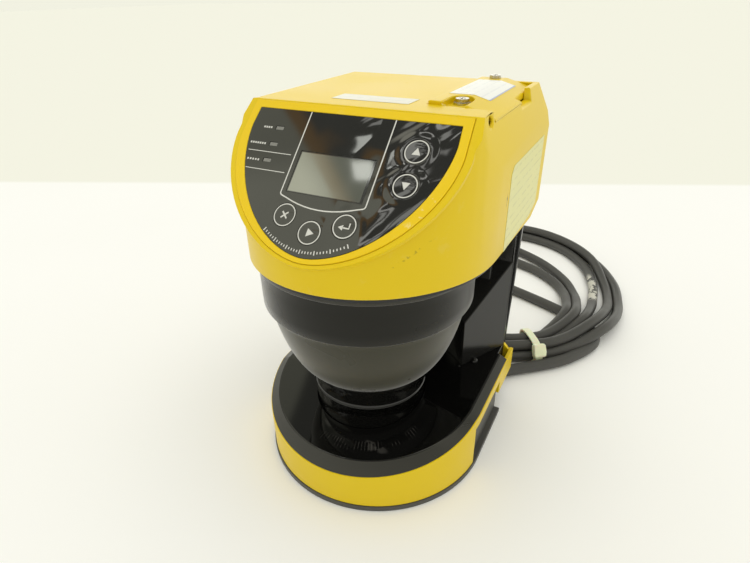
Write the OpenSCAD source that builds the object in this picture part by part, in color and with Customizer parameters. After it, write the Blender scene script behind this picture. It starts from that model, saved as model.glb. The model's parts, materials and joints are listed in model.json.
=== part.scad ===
// Safety laser scanner: a display head on a rear column, a hanging window cup with a
// spinning mirror inside it, and a D-shaped base. The origin is on the scan axis, on the
// surface that the base stands on. +Z is up, the display looks to -Y.

/* [Base] */
// Half width of the base over its yellow band
base_half = 56; // [50:0.5:65]
// Distance from the scan axis to the front of the base
base_front = 48.2; // [44:0.2:60]
// Where the foot of the base ends behind the axis
foot_rear = 46; // [38:1:54]
// Thickness of the bottom plate
plate_t = 2.6; // [2:0.1:5]
// How far the bottom plate stands out beyond the band
plate_lip = 0.5; // [0.2:0.1:1.5]
// Height of the band's top edge at the front
band_front_z = 20.4; // [16:0.2:24]
// Height of the band's top edge along the sides
band_side_z = 30.8; // [27:0.2:32]
// Thickness of the yellow band
band_t = 2; // [1.5:0.1:3]
// Height of the base's top at the front
deck_front_z = 26.6; // [25:0.2:30]
// Height of the base's top from the axis back
deck_z = 33.2; // [32.5:0.2:38]
// Width of the sloped rim round the base's top
rim_w = 4.6; // [3:0.2:7]
// Wall of the base housing
base_wall = 3; // [2:0.1:4]
// Height of the notch under the tail
tail_z = 17; // [12:0.5:19]
// Bottom edge of the band above the side covers
strip_z = 25; // [22:0.2:27]
// Front end of the side covers
cover_front = 2; // [0:0.5:8]

/* [Head] */
// How far the head stands out beyond the column on each side
head_over = 3.3; // [1:0.1:6]
// How far the head's sides lean in towards its top
head_lean_in = 4.8; // [0:0.1:6]
// How far the head's round front stands out beyond the cup
head_nose = 3.6; // [3.2:0.1:8]
// Distance from the axis to where the head's round front starts
head_round_y = 10.4; // [4:0.2:16]
// Distance from the scan axis to the back of the head
head_rear = 90.4; // [84:0.2:100]
// Height of the head's front, from its bottom edge to its top
head_h = 56.7; // [54:0.1:62]
// Fall of the head's bottom edge for each millimetre towards the back
head_fall = 0.062; // [0.04:0.002:0.07]
// Height of the whole scanner, up to the head's top
head_top_z = 171; // [160:0.5:190]
// Height of the leaning stretch at the top of the head's sides
head_lean_h = 21; // [15:1:30]
// Wall of the head shell
head_wall = 2.5; // [2:0.1:3.2]
// Distance from the scan axis to the top edge of the sloped face
face_y = 5.4; // [3:0.2:8]

/* [Face] */
// Half width of the yellow front cover
cover_half = 46.8; // [44:0.2:47.4]
// Thickness of the front cover
cover_t = 2.4; // [2:0.1:3]
// Half width of the black panel sheet
panel_half = 43.2; // [40:0.1:44]
// Thickness of the panel sheet
panel_t = 0.8; // [0.6:0.1:1.2]
// Radius of the round keys
key_r = 4.7; // [4.5:0.1:6.2]
// How far a key travels when it is pressed
key_travel = 0.4; // [0.2:0.05:0.6]
// Spacing of the three keys under the screen
key_pitch = 12.65; // [12.5:0.05:14]
// Width of the screen
lcd_w = 32; // [26:0.5:34]
// Height of the screen along the face
lcd_h = 17; // [14:0.5:18]
// Thickness of a circuit board
board_t = 1.6; // [1:0.1:2]

/* [Scan head] */
// How far the window cup's upper wall lies inside the head's sides
cup_in = 6.7; // [5.8:0.1:12]
// Height of the cup's upper wall, over the crease
cup_wall_h = 25.1; // [22:0.1:27]
// Outer radius of the cup's bottom
cup_foot_r = 33.5; // [32:0.1:36]
// Height of the whole cup
cup_h = 60.4; // [56:0.2:64]
// Wall of the window cup
cup_wall = 2.2; // [1.6:0.1:3]
// How far the cup's top reaches into the head
cup_sink = 2.1; // [1:0.1:2.4]
// Radius of the pedestal under the cup
pedestal_r = 27; // [25:0.2:29]
// Radius of the mirror motor
motor_r = 16; // [13:0.2:18]
// Radius of the motor's shaft
shaft_r = 2.5; // [2:0.1:4]
// Radius of the spinning mirror holder
rotor_r = 21; // [16:0.5:24]
// Radius of the encoder disc
encoder_r = 24; // [22:0.5:26]
// Radius of the receiver lens
lens_r = 28; // [24:0.5:30]

/* [Column] */
// Half width of the column's back wall
column_half = 50.6; // [47:0.2:52]
// Back face of the column
column_rear = 68.5; // [66:0.2:74]
// Thickness of the column's back cover
back_t = 2.5; // [2:0.1:4]
// Half width of the column's neck
neck_half = 42; // [36:1:44]
// Front face of the column's neck
neck_y = 53; // [51:0.5:56]
// Spacing of the rear mounting holes across the column
rear_hole_x = 60; // [50:1:70]
// Spacing of the rear mounting holes up the column
rear_hole_z = 40; // [30:1:44]

/* [Cable] */
// Diameter of the cable
cable_d = 6.8; // [6:0.1:8]
// Middle of the coil behind the column
coil_y = 185; // [180:1:200]
// Outer radius of the coil
coil_r = 108; // [104:1:112]
// Inner radius of the coil
coil_hole_r = 64; // [55:1:70]

/* [Hidden] */
$fn = 64;

eps = 0.01;              // overlap of a cutting tool
fit = 0.1;               // gap between pieces that fit together
run = 0.3;               // gap round a piece that moves
far = 200;               // reach of a cutting half space

YELLOW = "#f2cf1e";
GLOSS = "#0f0f10";
SATIN = "#35352f";
STEEL = "#b9bcc0";
GREEN_BOARD = "#1f6b3a";
BRASS = "#b8964a";
SMOKE = "#20201c";
LABEL = "#f4f4f0";

// ---------- outlines ----------

// D outline: a round front of half width w whose foremost point is at -front, with the
// round stretch starting at y = start, and straight sides back to y = rear.
function d_points(w, front, start, rear, n = 48) = concat(
  [for (i = [0 : n]) [-w * cos(180 * i / n), start - (front + start) * sin(180 * i / n)]],
  [[w, rear], [-w, rear]]
);

module base_outline(inset = 0, rear = foot_rear) {
  w = base_half - inset;
  mid = base_half - base_front;
  intersection() {
    translate([0, mid]) circle(r = w, $fn = 128);
    translate([-far, -far]) square([2 * far, far + mid]);
  }
  translate([-w, mid]) square([2 * w, rear - mid]);
}

module head_outline(inset = 0) {
  polygon(d_points(head_half - inset, head_front - inset, head_round_y, head_rear + 10));
}

// A side view, given as [y, z] points, extruded over the full width.
module side_view(points, half = far) {
  rotate([90, 0, 90]) translate([0, 0, -half]) linear_extrude(2 * half) polygon(points);
}

// Everything below a line of [y, z] points.
module below(points) {
  side_view(concat([[-far, -far]], [[-far, points[0][1]]], points,
    [[far, points[len(points) - 1][1]]], [[far, -far]]));
}

head_half = column_half + head_over;
head_top_half = head_half - head_lean_in;
cup_r = head_half - cup_in;
head_front = cup_r + head_nose;
head_under_z = head_top_z - head_h;
cup_top_z = head_under_z + cup_sink;
cup_foot_z = cup_top_z - cup_h;
crease_z = cup_top_z - cup_wall_h;

// Height of the head's bottom edge at a distance y behind the axis
function under(y) = head_under_z - head_fall * (y + head_front);

// Heights along the base, as [y, z] lines
tail_rear = column_rear - back_t;
back_wall_t = 4.5;
back_wall_y = tail_rear - back_wall_t;
tail_slant = 12;
tail_drop = 3;
tail_rise = 2.6;
tail_dip_z = 24;         // floor of the dip at each corner of the tail
fin_t = 2.2;
band_line = [[-base_front, band_front_z], [0, band_side_z]];
deck_line = [[-base_front + rim_w, deck_front_z], [0, deck_z]];

// ---------- base ----------

screw_head_r = 3.2;
screw_r = 1.5;
screw_sink = 0.2;        // how deep a screw's head lies under its surface
pilot = 0.02;            // gap round a thread, or under a piece that is soldered on
plate_screw_x = base_half - 18;
plate_screw_y = [-14, foot_rear - 10];
plate_screw_at = [for (x = [-plate_screw_x, plate_screw_x], y = plate_screw_y) [x, y]];
plate_screw_len = 9;
boss_r = 4;
mount_hole_r = 2.1;      // tapped M5
mount_pass_r = 2.5;
mount_hole_x = 30;
mount_hole_y = [-24, 30];
mount_hole_at = [for (x = [-mount_hole_x, mount_hole_x], y = mount_hole_y) [x, y]];
mount_boss_r = 5;
mount_depth = 12;

module base_plate() {
  color(GLOSS) difference() {
    linear_extrude(plate_t) base_outline(-plate_lip);
    for (p = plate_screw_at) translate([p[0], p[1], 0]) {
      translate([0, 0, -eps]) cylinder(r = screw_r + fit, h = plate_t + 1);
      translate([0, 0, -eps]) cylinder(r = screw_head_r + fit, h = plate_t / 2 + eps);
    }
    for (p = mount_hole_at) translate([p[0], p[1], -eps]) cylinder(r = mount_pass_r, h = plate_t + 1);
  }
}

module base_plate_screws() {
  color(STEEL) for (p = plate_screw_at) translate([p[0], p[1], screw_sink]) {
    cylinder(r = screw_head_r, h = plate_t / 2 - screw_sink);
    cylinder(r = screw_r, h = plate_screw_len);
  }
}

// The whole outer form of the base above its plate, with the sloped rim.
rim_skin = 0.2;
module base_form() {
  difference() {
    union() {
      intersection() {
        translate([0, 0, plate_t]) linear_extrude(deck_z) base_outline(0, tail_rear);
        below(band_line);
      }
      hull() {
        intersection() {
          linear_extrude(deck_z) base_outline(0, tail_rear);
          difference() {
            below(band_line);
            translate([0, 0, -rim_skin]) below(band_line);
          }
        }
        intersection() {
          linear_extrude(deck_z) base_outline(rim_w, tail_rear);
          difference() {
            below(deck_line);
            translate([0, 0, -rim_skin]) below(deck_line);
          }
        }
      }
    }
    side_view([[foot_rear, -1], [far, -1], [far, tail_z], [foot_rear, tail_z]]);
  }
}

// The yellow band: a ring round the base that thins to a strip over the side covers and
// widens into a cap at each corner of the tail
fin_front = foot_rear - 5;
fin_inset = base_half - column_half;
fin_y = tail_rear - tail_slant;
module end_view(points, near, reach) {
  translate([0, reach, 0]) rotate([90, 0, 0]) linear_extrude(reach - near) polygon(points);
}

module band_zone(grow = 0) {
  difference() {
    intersection() {
      translate([0, 0, -1]) linear_extrude(deck_z + 1) difference() {
        base_outline(-grow, tail_rear);
        base_outline(band_t + grow, tail_rear + 1);
      }
      below([for (p = band_line) p + [0, grow]]);
    }
    side_view([[cover_front, -2], [fin_front - grow, -2], [fin_front - grow, strip_z - grow],
      [cover_front, strip_z - grow]]);
    side_view([[fin_front - grow - 1, -2], [far, -2], [far, tail_z], [fin_front - grow - 1, tail_z]]);
  }
  fin_in = base_half - fin_inset + fit - grow;
  fin_out = base_half + grow;
  for (s = [0, 1]) mirror([s, 0, 0]) {
    intersection() {
      end_view([[base_half - fin_t - grow, tail_z], [fin_out, tail_z], [fin_out, deck_z],
        [base_half - fin_t - grow, deck_z]], fin_y - grow, tail_rear);
      below([[fin_y, band_side_z + grow], [tail_rear, band_side_z - tail_drop + grow]]);
    }
    end_view([[fin_in, tail_z], [fin_out, tail_z], [fin_out, band_side_z - tail_drop],
      [fin_in, band_side_z + tail_rise]], tail_rear - fin_t - grow, tail_rear);
  }
}

module base_band() {
  color(YELLOW) intersection() {
    band_zone();
    translate([-far, -far, plate_t + fit]) cube(2 * far);
  }
}

deck_under = [for (p = deck_line) [p[0], p[1] - base_wall]];
cavity_inset = band_t + base_wall;
side_cover_t = 1.3;
side_cover_sink = 2.4;
gland_x = base_half - 18;
gland_z = 8.5;
gland_r = 6.5;
gland_out = 8;
tail_floor = tail_z + base_wall;
channel_half = 24;
channel_y = back_wall_y - 5.5;
channel_t = 4.5;
gland_stem_r = gland_r - 1.5;

module base_body() {
  color(GLOSS) difference() {
    base_form();
    band_zone(fit);
    for (s = [0, 1]) mirror([s, 0, 0]) translate([base_half - fin_inset, fin_y, tail_dip_z])
      cube([far, tail_slant, far]);
    for (s = [-1, 1]) translate([s * (base_half - side_cover_sink - side_cover_t - fit + far), 0, 0])
      side_view([[cover_front - fit, -1], [foot_rear + 1, -1], [foot_rear + 1, strip_z],
        [cover_front - fit, strip_z]], far);
    difference() {
      intersection() {
        translate([0, 0, -1]) linear_extrude(deck_z) base_outline(cavity_inset, foot_rear - base_wall);
        below(deck_under);
      }
      for (p = plate_screw_at) translate([p[0], p[1], 0]) cylinder(r = boss_r, h = deck_z);
      for (p = mount_hole_at) translate([p[0], p[1], 0]) cylinder(r = mount_boss_r, h = deck_z);
    }
    translate([-channel_half - base_wall, foot_rear - base_wall - 1, tail_floor])
      cube([2 * (channel_half + base_wall), tail_rear - foot_rear, deck_z - base_wall - tail_floor]);
    translate([-channel_half, channel_y, tail_floor]) cube([2 * channel_half, channel_t, deck_z]);
    for (p = plate_screw_at) translate([p[0], p[1], 0])
      cylinder(r = screw_r + pilot, h = plate_screw_len + 2);
    for (p = mount_hole_at) translate([p[0], p[1], 0])
      cylinder(r = mount_hole_r, h = mount_depth + plate_t);
    cylinder(r = pedestal_r + fit, h = far);
    translate([gland_x, foot_rear + 1, gland_z]) rotate([90, 0, 0])
      cylinder(r = gland_stem_r + fit, h = base_wall + 2);
    for (y = cover_peg_y) translate([0, y, cover_peg_z]) rotate([0, 90, 0])
      cylinder(r = cover_peg_r + fit, h = far, center = true);
  }
}

// A side cover: a plate with a notch in its front edge, held by two pegs
cover_peg_y = [cover_front + 10, foot_rear - 12];
cover_peg_z = 10;
cover_peg_r = 1.4;
cover_peg_len = 3;
cover_notch = [1.6, 5];  // how far it goes in, and its height
module side_cover(s) {
  x = base_half - side_cover_sink - side_cover_t;
  color(SATIN) translate([s * (x + side_cover_t / 2), 0, 0]) difference() {
    side_view([[cover_front, plate_t], [foot_rear, plate_t], [foot_rear, tail_z - fit],
      [fin_front - fit, tail_z - fit], [fin_front - fit, strip_z - fit], [cover_front, strip_z - fit]],
      side_cover_t / 2);
    translate([-side_cover_t, cover_front - 1, cover_peg_z])
      cube([2 * side_cover_t, cover_notch[0] + 1, cover_notch[1]]);
  }
  color(SATIN) for (y = cover_peg_y) translate([s * (x + side_cover_t / 2), y, cover_peg_z])
    rotate([0, -s * 90, 0]) cylinder(r = cover_peg_r, h = cover_peg_len + side_cover_t / 2);
}
module side_cover_left() { side_cover(-1); }
module side_cover_right() { side_cover(1); }

// ---------- scan head: pedestal, window cup, motor, mirror ----------

pedestal_wall = 2.5;
pedestal_top_t = 4;
pedestal_flare_h = 12;
pedestal_step = 1.5;
module cup_pedestal() {
  top = cup_foot_z;
  rim = cup_foot_r - pedestal_step;
  inner = pedestal_r - pedestal_wall;
  color(GLOSS) rotate_extrude($fn = 96) polygon([
    [motor_r + fit, top], [rim, top], [rim, top - pedestal_top_t], [pedestal_r, top - pedestal_flare_h],
    [pedestal_r, plate_t + fit], [inner, plate_t + fit], [inner, top - pedestal_top_t],
    [motor_r + fit, top - pedestal_top_t]]);
}

// Quadratic curve through a, pulled towards b, to c
function bend(a, b, c, n = 10) = [for (i = [0 : n]) let (t = i / n)
  (1 - t) * (1 - t) * a + 2 * t * (1 - t) * b + t * t * c];
cup_bulge = [cup_foot_r + 10.5, cup_foot_z + 11];
cup_ledge_r = cup_foot_r - 4.5;
cup_collar_r = cup_r - 7.2;
module window_cup() {
  a = [cup_foot_r, cup_foot_z + fit];
  c = [cup_r, crease_z];
  w = cup_wall;
  outer = bend(a, cup_bulge, c);
  inner = bend([a[0] - w * 0.7, a[1] + w], cup_bulge - [w, 0], c - [w, 0]);
  color(SMOKE, 0.85) rotate_extrude($fn = 128) polygon(concat(
    [[cup_ledge_r, a[1]]], outer,
    [[cup_r, cup_top_z], [cup_collar_r, cup_top_z], [cup_collar_r, cup_top_z - w],
    [cup_r - w, cup_top_z - w]], [for (i = [len(inner) - 1 : -1 : 0]) inner[i]],
    [[cup_ledge_r, a[1] + w]]));
}

motor_foot_z = cup_foot_z - 28;
motor_flange_r = motor_r + 4;
motor_flange_t = 2;
bearing_r = 6;
bearing_t = 4;
bearing_sink = 0.5;
motor_top_z = cup_foot_z + fit + motor_flange_t;
module motor_stator() {
  color("#6d6f72") difference() {
    union() {
      translate([0, 0, motor_foot_z]) cylinder(r = motor_r, h = motor_top_z - motor_foot_z);
      translate([0, 0, cup_foot_z + fit]) cylinder(r = motor_flange_r, h = motor_flange_t);
    }
    translate([0, 0, motor_foot_z - 1]) cylinder(r = bearing_r + pilot, h = far);
  }
}
bearing_at = [motor_foot_z + 1, motor_top_z - bearing_t - bearing_sink];
shaft_gap = 0.03;
module motor_bearings() {
  color(STEEL) for (z = bearing_at) translate([0, 0, z]) difference() {
    cylinder(r = bearing_r, h = bearing_t);
    translate([0, 0, -1]) cylinder(r = shaft_r + shaft_gap, h = bearing_t + 2);
  }
}

scan_z = cup_foot_z + 28;
hub_r = 8;
hub_h = 4;
rotor_z = motor_top_z + run;
holder_z = rotor_z + hub_h;
disc_t = 1.1;
mirror_t = 2;
// Half space under the mirror's 45 degree plane, raised by h
module under_mirror(h = 0) {
  translate([0, 0, scan_z + h]) rotate([45, 0, 0]) translate([-far, -far, -2 * far]) cube(2 * far);
}
module rotor() {
  color("#2b2d31") {
    translate([0, 0, motor_foot_z + 1]) cylinder(r = shaft_r, h = rotor_z - motor_foot_z);
    translate([0, 0, rotor_z]) cylinder(r = hub_r, h = holder_z - rotor_z + 1);
    intersection() {
      translate([0, 0, holder_z]) cylinder(r = rotor_r, h = far);
      under_mirror();
    }
  }
}
mirror_inset = 0.5;
module scan_mirror() {
  color("#dfe6ea") intersection() {
    cylinder(r = rotor_r - mirror_inset, h = far);
    difference() {
      under_mirror(mirror_t * sqrt(2) + fit);
      under_mirror(fit);
    }
    translate([0, 0, holder_z]) cylinder(r = rotor_r, h = far);
  }
}
slot_size = [1.6, 1.2];
slot_edge = 0.9;
module encoder_disc() {
  color("#8b8f94") translate([0, 0, holder_z - fit - disc_t]) difference() {
    cylinder(r = encoder_r, h = disc_t);
    translate([0, 0, -1]) cylinder(r = hub_r + fit, h = disc_t + 2);
    for (i = [0 : 35]) rotate([0, 0, 10 * i])
      translate([encoder_r - slot_edge - slot_size[0], -slot_size[1] / 2, -1])
        cube([slot_size[0], slot_size[1], disc_t + 2]);
  }
}
sensor_w = 8;
sensor_h = 3.5;
sensor_gap = 1.2;
module encoder_sensor() {
  near = motor_flange_r + 1;
  color("#1d1d1f") difference() {
    translate([-sensor_w / 2, near, cup_foot_z + fit])
      cube([sensor_w, cup_ledge_r - sensor_gap / 2 - near, holder_z - cup_foot_z + sensor_h]);
    translate([-sensor_w, near - 1, holder_z - fit - disc_t - sensor_gap])
      cube([2 * sensor_w, encoder_r + sensor_gap / 2 - near + 1, disc_t + 2 * sensor_gap]);
    cylinder(r = rotor_r + 1, h = far);
  }
}

// ---------- column ----------

wing_in = 14.6;
wing_run = 19;
wing_front = [column_half - wing_in, neck_y - wing_run];
wing_top_front_z = cup_foot_z + 4;
wing_top_rear_z = cup_foot_z + 30;
cup_clear = 2.5;
lip_drop = 2;
function lip_line(gap) = [for (y = [-far, far]) [y, under(y) - gap]];
rear_hole_z0 = deck_z + 11.8;
rear_hole_at = [for (x = [-rear_hole_x / 2, rear_hole_x / 2], z = [0, rear_hole_z]) [x, rear_hole_z0 + z]];
back_screw_inset = 4.6;
back_screw_x = column_half - back_screw_inset;
back_screw_z = [deck_z + back_screw_inset, head_under_z - 16.3];
back_screw_at = [for (x = [-back_screw_x, back_screw_x], z = back_screw_z) [x, z]];
back_screw_len = 8;
back_pass_r = 2.7;

module column() {
  color(GLOSS) difference() {
    intersection() {
      union() {
        intersection() {
          translate([0, 0, deck_z]) linear_extrude(far) polygon([
            [-column_half, back_wall_y + eps], [-wing_front[0], wing_front[1]],
            wing_front, [column_half, back_wall_y + eps]]);
          below([[-far, wing_top_front_z], [wing_front[1], wing_top_front_z],
            [back_wall_y, wing_top_rear_z]]);
        }
        translate([-neck_half, neck_y, deck_z]) cube([2 * neck_half, back_wall_y - neck_y + eps, far]);
        translate([-column_half, back_wall_y, deck_z]) cube([2 * column_half, back_wall_t, far]);
      }
      below(lip_line(lip_drop + fit));
    }
    cylinder(r = cup_r + cup_clear, h = far);
    translate([-channel_half, channel_y, deck_z - 1]) cube([2 * channel_half, channel_t, far]);
    for (p = rear_hole_at) translate([p[0], tail_rear + 1, p[1]]) rotate([90, 0, 0])
      cylinder(r = mount_hole_r, h = mount_depth + 1);
    for (p = back_screw_at) translate([p[0], tail_rear + 1, p[1]]) rotate([90, 0, 0])
      cylinder(r = screw_r + pilot, h = back_screw_len + 1);
  }
}

module column_back_cover() {
  top_half = head_half - lip_inset;
  color(GLOSS) difference() {
    intersection() {
      translate([0, column_rear, 0]) rotate([90, 0, 0]) linear_extrude(back_t - fit)
        polygon([[-column_half, tail_z], [column_half, tail_z], [column_half, deck_z],
          [top_half, head_under_z], [-top_half, head_under_z], [-column_half, deck_z]]);
      below(lip_line(lip_drop + fit));
    }
    for (p = rear_hole_at) translate([p[0], column_rear + 1, p[1]]) rotate([90, 0, 0])
      cylinder(r = back_pass_r, h = back_t + 2);
    for (p = back_screw_at) translate([p[0], column_rear + 1, p[1]]) rotate([90, 0, 0]) {
      cylinder(r = screw_r + fit, h = back_t + 2);
      cylinder(r = screw_head_r + fit, h = 1 + back_t / 2);
    }
  }
}
module back_cover_screws() {
  color(STEEL) for (p = back_screw_at) translate([p[0], column_rear - screw_sink, p[1]]) rotate([90, 0, 0]) {
    cylinder(r = screw_head_r, h = back_t / 2 - screw_sink);
    cylinder(r = screw_r, h = back_screw_len);
  }
}

// ---------- head ----------

rear_low = head_rear - 16.4;
rear_corner_z = head_under_z - 2.8;
rear_lean_z = head_top_z - 14;
top_rear = head_rear - 12.6;
underside_t = 2.6;
head_lean_z = head_top_z - head_lean_h;
lip_inset = 1.4;
block_z = head_under_z - 24;
nose_y = -head_front - 1;

// Side view of the head's form, or of its hollow, which is open at the bottom
function head_side(inset) = let (
  drop = 5,
  floor = inset > 0 ? [[nose_y, under(nose_y) - drop], [rear_low - inset, under(rear_low) - drop]]
    : [[nose_y, under(nose_y)]])
  concat(floor, [
    [rear_low - inset, under(rear_low) + inset],
    [head_rear - inset, rear_corner_z + inset * sin(45)],
    [head_rear - inset, rear_lean_z - inset * sin(45)],
    [top_rear - inset * sin(45), head_top_z - inset],
    [-face_y + inset * tan(22.5), head_top_z - inset],
    [nose_y, head_top_z + nose_y + face_y - inset * sqrt(2)]]);

// The head's form, or its hollow: a D-shaped block, cut to its side view and leaning in
// at the top of its sides
module head_form(inset = 0) {
  intersection() {
    w = head_half - inset;
    top = head_top_half - inset;
    union() {
      translate([0, 0, block_z]) linear_extrude(far) head_outline(inset);
      if (inset == 0) face_lip();
    }
    side_view(head_side(inset));
    end_view([[-w - 1, block_z], [w + 1, block_z], [w, head_lean_z], [top, head_top_z],
      [-top, head_top_z], [-w, head_lean_z]], -far, far);
  }
}

// The lip that stands round the front cover and dies away into the head's sides
module face_lip() {
  on_face() hull() {
    translate([0, 0, -lip_t]) linear_extrude(lip_t)
      shield(lip_half, -1, lip_foot, cover_power, cover_mid);
    translate([0, 0, -lip_root]) linear_extrude(eps)
      shield(lip_half - lip_taper, 0, lip_foot - lip_taper, cover_power, cover_mid);
  }
}

// Puts things on the sloped face: x across, y up the slope, z out of the face
module on_face() {
  translate([0, -face_y, head_top_z]) rotate([45, 0, 0]) children();
}

// Shield outline of half width a: straight top edge at -top, foot at -foot
shield_mid = 12;
module shield(a, top, foot, power = 2, mid = shield_mid, n = 48) {
  polygon(concat([[-a * 0.985, -top]], [for (i = [0 : n]) let (t = 180 * i / n, c = cos(t), s = sin(t))
    [-a * sign(c) * pow(abs(c), 2 / power), -mid - (foot - mid) * pow(abs(s), 2 / power)]],
    [[a * 0.985, -top]]));
}
cover_top = 0.7;
cover_foot = 63.6;
cover_mid = 16;
cover_power = 1.8;
lip_half = cover_half + 2.8;
lip_foot = cover_foot + 1.6;
lip_t = 1.6;
lip_root = 8;
lip_taper = 3.4;
cover_proud = 0.4;
panel_top = 4.3;
panel_foot = 61.6;
panel_power = 1.8;
lcd_top = 21;
key_row = 47.2;
key_middle_row = 52;
key_side_x = 29.5;
key_side_rows = [15.7, 28.9];
KEY_AT = [[-key_pitch, key_row], [0, key_middle_row], [key_pitch, key_row],
  [key_side_x, key_side_rows[0]], [key_side_x, key_side_rows[1]]];
led_x = -29.8;
led_rows = [12.7, 19.8, 26.8];
led_size = [3.6, 1.6];
board_depth = 9;
post_r = 2.4;
post_at = [[-34, -15], [34, -9], [-20, -46], [21, -46]];
pocket_inset = 3;
corner_hole_r = 1.5;
corner_hole_at = [head_half - 4.2, 0.4, head_top_z - 2.6];

module face_openings(grow = 0, h = 10) {
  for (k = KEY_AT) translate([k[0], -k[1], -h]) cylinder(r = key_r + grow, h = 2 * h, $fn = 48);
  translate([-lcd_w / 2 - grow, -lcd_top - lcd_h - grow, -h])
    cube([lcd_w + 2 * grow, lcd_h + 2 * grow, 2 * h]);
  for (r = led_rows) translate([led_x - led_size[0] / 2 - grow, -r - led_size[1] / 2 - grow, -h])
    cube([led_size[0] + 2 * grow, led_size[1] + 2 * grow, 2 * h]);
}

module head_shell() {
  color(YELLOW) difference() {
    union() {
      difference() {
        head_form();
        head_form(head_wall);
      }
      notch_floor();
    }
    edge_notch();
    on_face() {
      translate([0, 0, -cover_t + cover_proud - fit]) linear_extrude(cover_t + 2)
        shield(cover_half + fit, cover_top - fit, cover_foot + fit, cover_power, cover_mid);
      translate([0, 0, -board_depth]) linear_extrude(board_depth)
        shield(cover_half - pocket_inset, cover_top + pocket_inset + 1, cover_foot - pocket_inset);
    }
    module_pocket(fit);
    translate(corner_hole_at) rotate([0, 90, -35]) cylinder(r = corner_hole_r, h = 8, center = true);
  }
}

module front_cover() {
  h0 = cover_proud - cover_t;
  color(YELLOW) on_face() difference() {
    union() {
      translate([0, 0, h0]) linear_extrude(cover_t)
        shield(cover_half, cover_top, cover_foot, cover_power, cover_mid);
      for (p = post_at) translate([p[0], p[1], fit - board_depth]) cylinder(r = post_r, h = board_depth + h0);
    }
    translate([0, 0, cover_proud - panel_t]) linear_extrude(panel_t + 1)
      shield(panel_half + fit, panel_top - fit, panel_foot + fit, panel_power);
    face_openings(run);
  }
}

bond = 0.05;             // a glue line
module panel_sheet() {
  color(GLOSS) on_face() difference() {
    translate([0, 0, cover_proud - panel_t + bond]) linear_extrude(panel_t - bond)
      shield(panel_half, panel_top, panel_foot, panel_power);
    face_openings(fit);
  }
}
lcd_glass_t = 1.2;
module lcd_window() {
  color("#aab0a8", 0.9) on_face() translate([-lcd_w / 2, -lcd_top - lcd_h, cover_proud - lcd_glass_t])
    cube([lcd_w, lcd_h, lcd_glass_t - fit]);
}
module status_lenses() {
  color("#d8d8cc") on_face() for (r = led_rows)
    translate([led_x - led_size[0] / 2, -r - led_size[1] / 2, -board_depth + fit])
      cube([led_size[0], led_size[1], board_depth + cover_proud - 2 * fit]);
}
lcd_case_t = 6.5;
lcd_case_rim = 2;
module lcd_module() {
  color("#c8ccc6") on_face()
    translate([-lcd_w / 2 - lcd_case_rim, -lcd_top - lcd_h - lcd_case_rim, -board_depth + fit])
      cube([lcd_w + 2 * lcd_case_rim, lcd_h + 2 * lcd_case_rim, lcd_case_t]);
}
key_cap_t = 2.6;
module key_cap(i) {
  color(GLOSS) on_face() translate([KEY_AT[i][0], -KEY_AT[i][1], cover_proud - key_cap_t])
    cylinder(r = key_r - bond, h = key_cap_t, $fn = 48);
}
module key_left() { key_cap(0); }
module key_middle() { key_cap(1); }
module key_right() { key_cap(2); }
module key_upper() { key_cap(3); }
module key_lower() { key_cap(4); }
switch_gap = key_travel + 0.2;
switch_size = [6, 6, 3.5];
plunger_r = 1.7;
module key_switches() {
  color("#3a3a3c") on_face() for (k = KEY_AT) translate([k[0], -k[1], -board_depth + fit]) {
    translate([-switch_size[0] / 2, -switch_size[1] / 2, 0]) cube(switch_size);
    cylinder(r = plunger_r, h = board_depth + cover_proud - key_cap_t - switch_gap - fit);
  }
}
board_foot = cover_foot - 11.6;
board_inset = 8;
module display_board() {
  color(GREEN_BOARD) on_face() translate([0, 0, -board_depth - board_t]) linear_extrude(board_t)
    shield(cover_half - board_inset, cover_top + board_inset - 1, board_foot);
}

main_board_deep = 31;    // from the head's top down to the board
main_board_z = head_top_z - main_board_deep;
main_post_r = 3;
board_half = 42;
main_post_x = board_half - 8;
main_post_at = [for (x = [-main_post_x, main_post_x], y = [rear_low - 24, rear_low - 8]) [x, y]];
cup_hole_r = cup_r + run;

// A slab of the head's outline, from low to high above the line of its bottom edge
module underside_slab(inset, low, high) {
  intersection() {
    translate([0, 0, block_z]) linear_extrude(far) intersection() {
      head_outline(inset);
      translate([-far, -far]) square([2 * far, far + rear_low - head_wall - fit]);
    }
    below(lip_line(-high));
    difference() {
      translate([-far, -far, 0]) cube(2 * far);
      below(lip_line(-low));
    }
  }
}
module head_underside() {
  color(GLOSS) difference() {
    union() {
      underside_slab(head_wall + fit, -2 * fit, underside_t);
      underside_slab(lip_inset, -lip_drop, -fit);
      for (p = main_post_at) translate([p[0], p[1], under(p[1])])
        cylinder(r = main_post_r, h = main_board_z - fit - under(p[1]));
    }
    cylinder(r = cup_hole_r, h = far);
    translate([-channel_half, channel_y, deck_z]) cube([2 * channel_half, channel_t, far]);
  }
}

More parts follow.
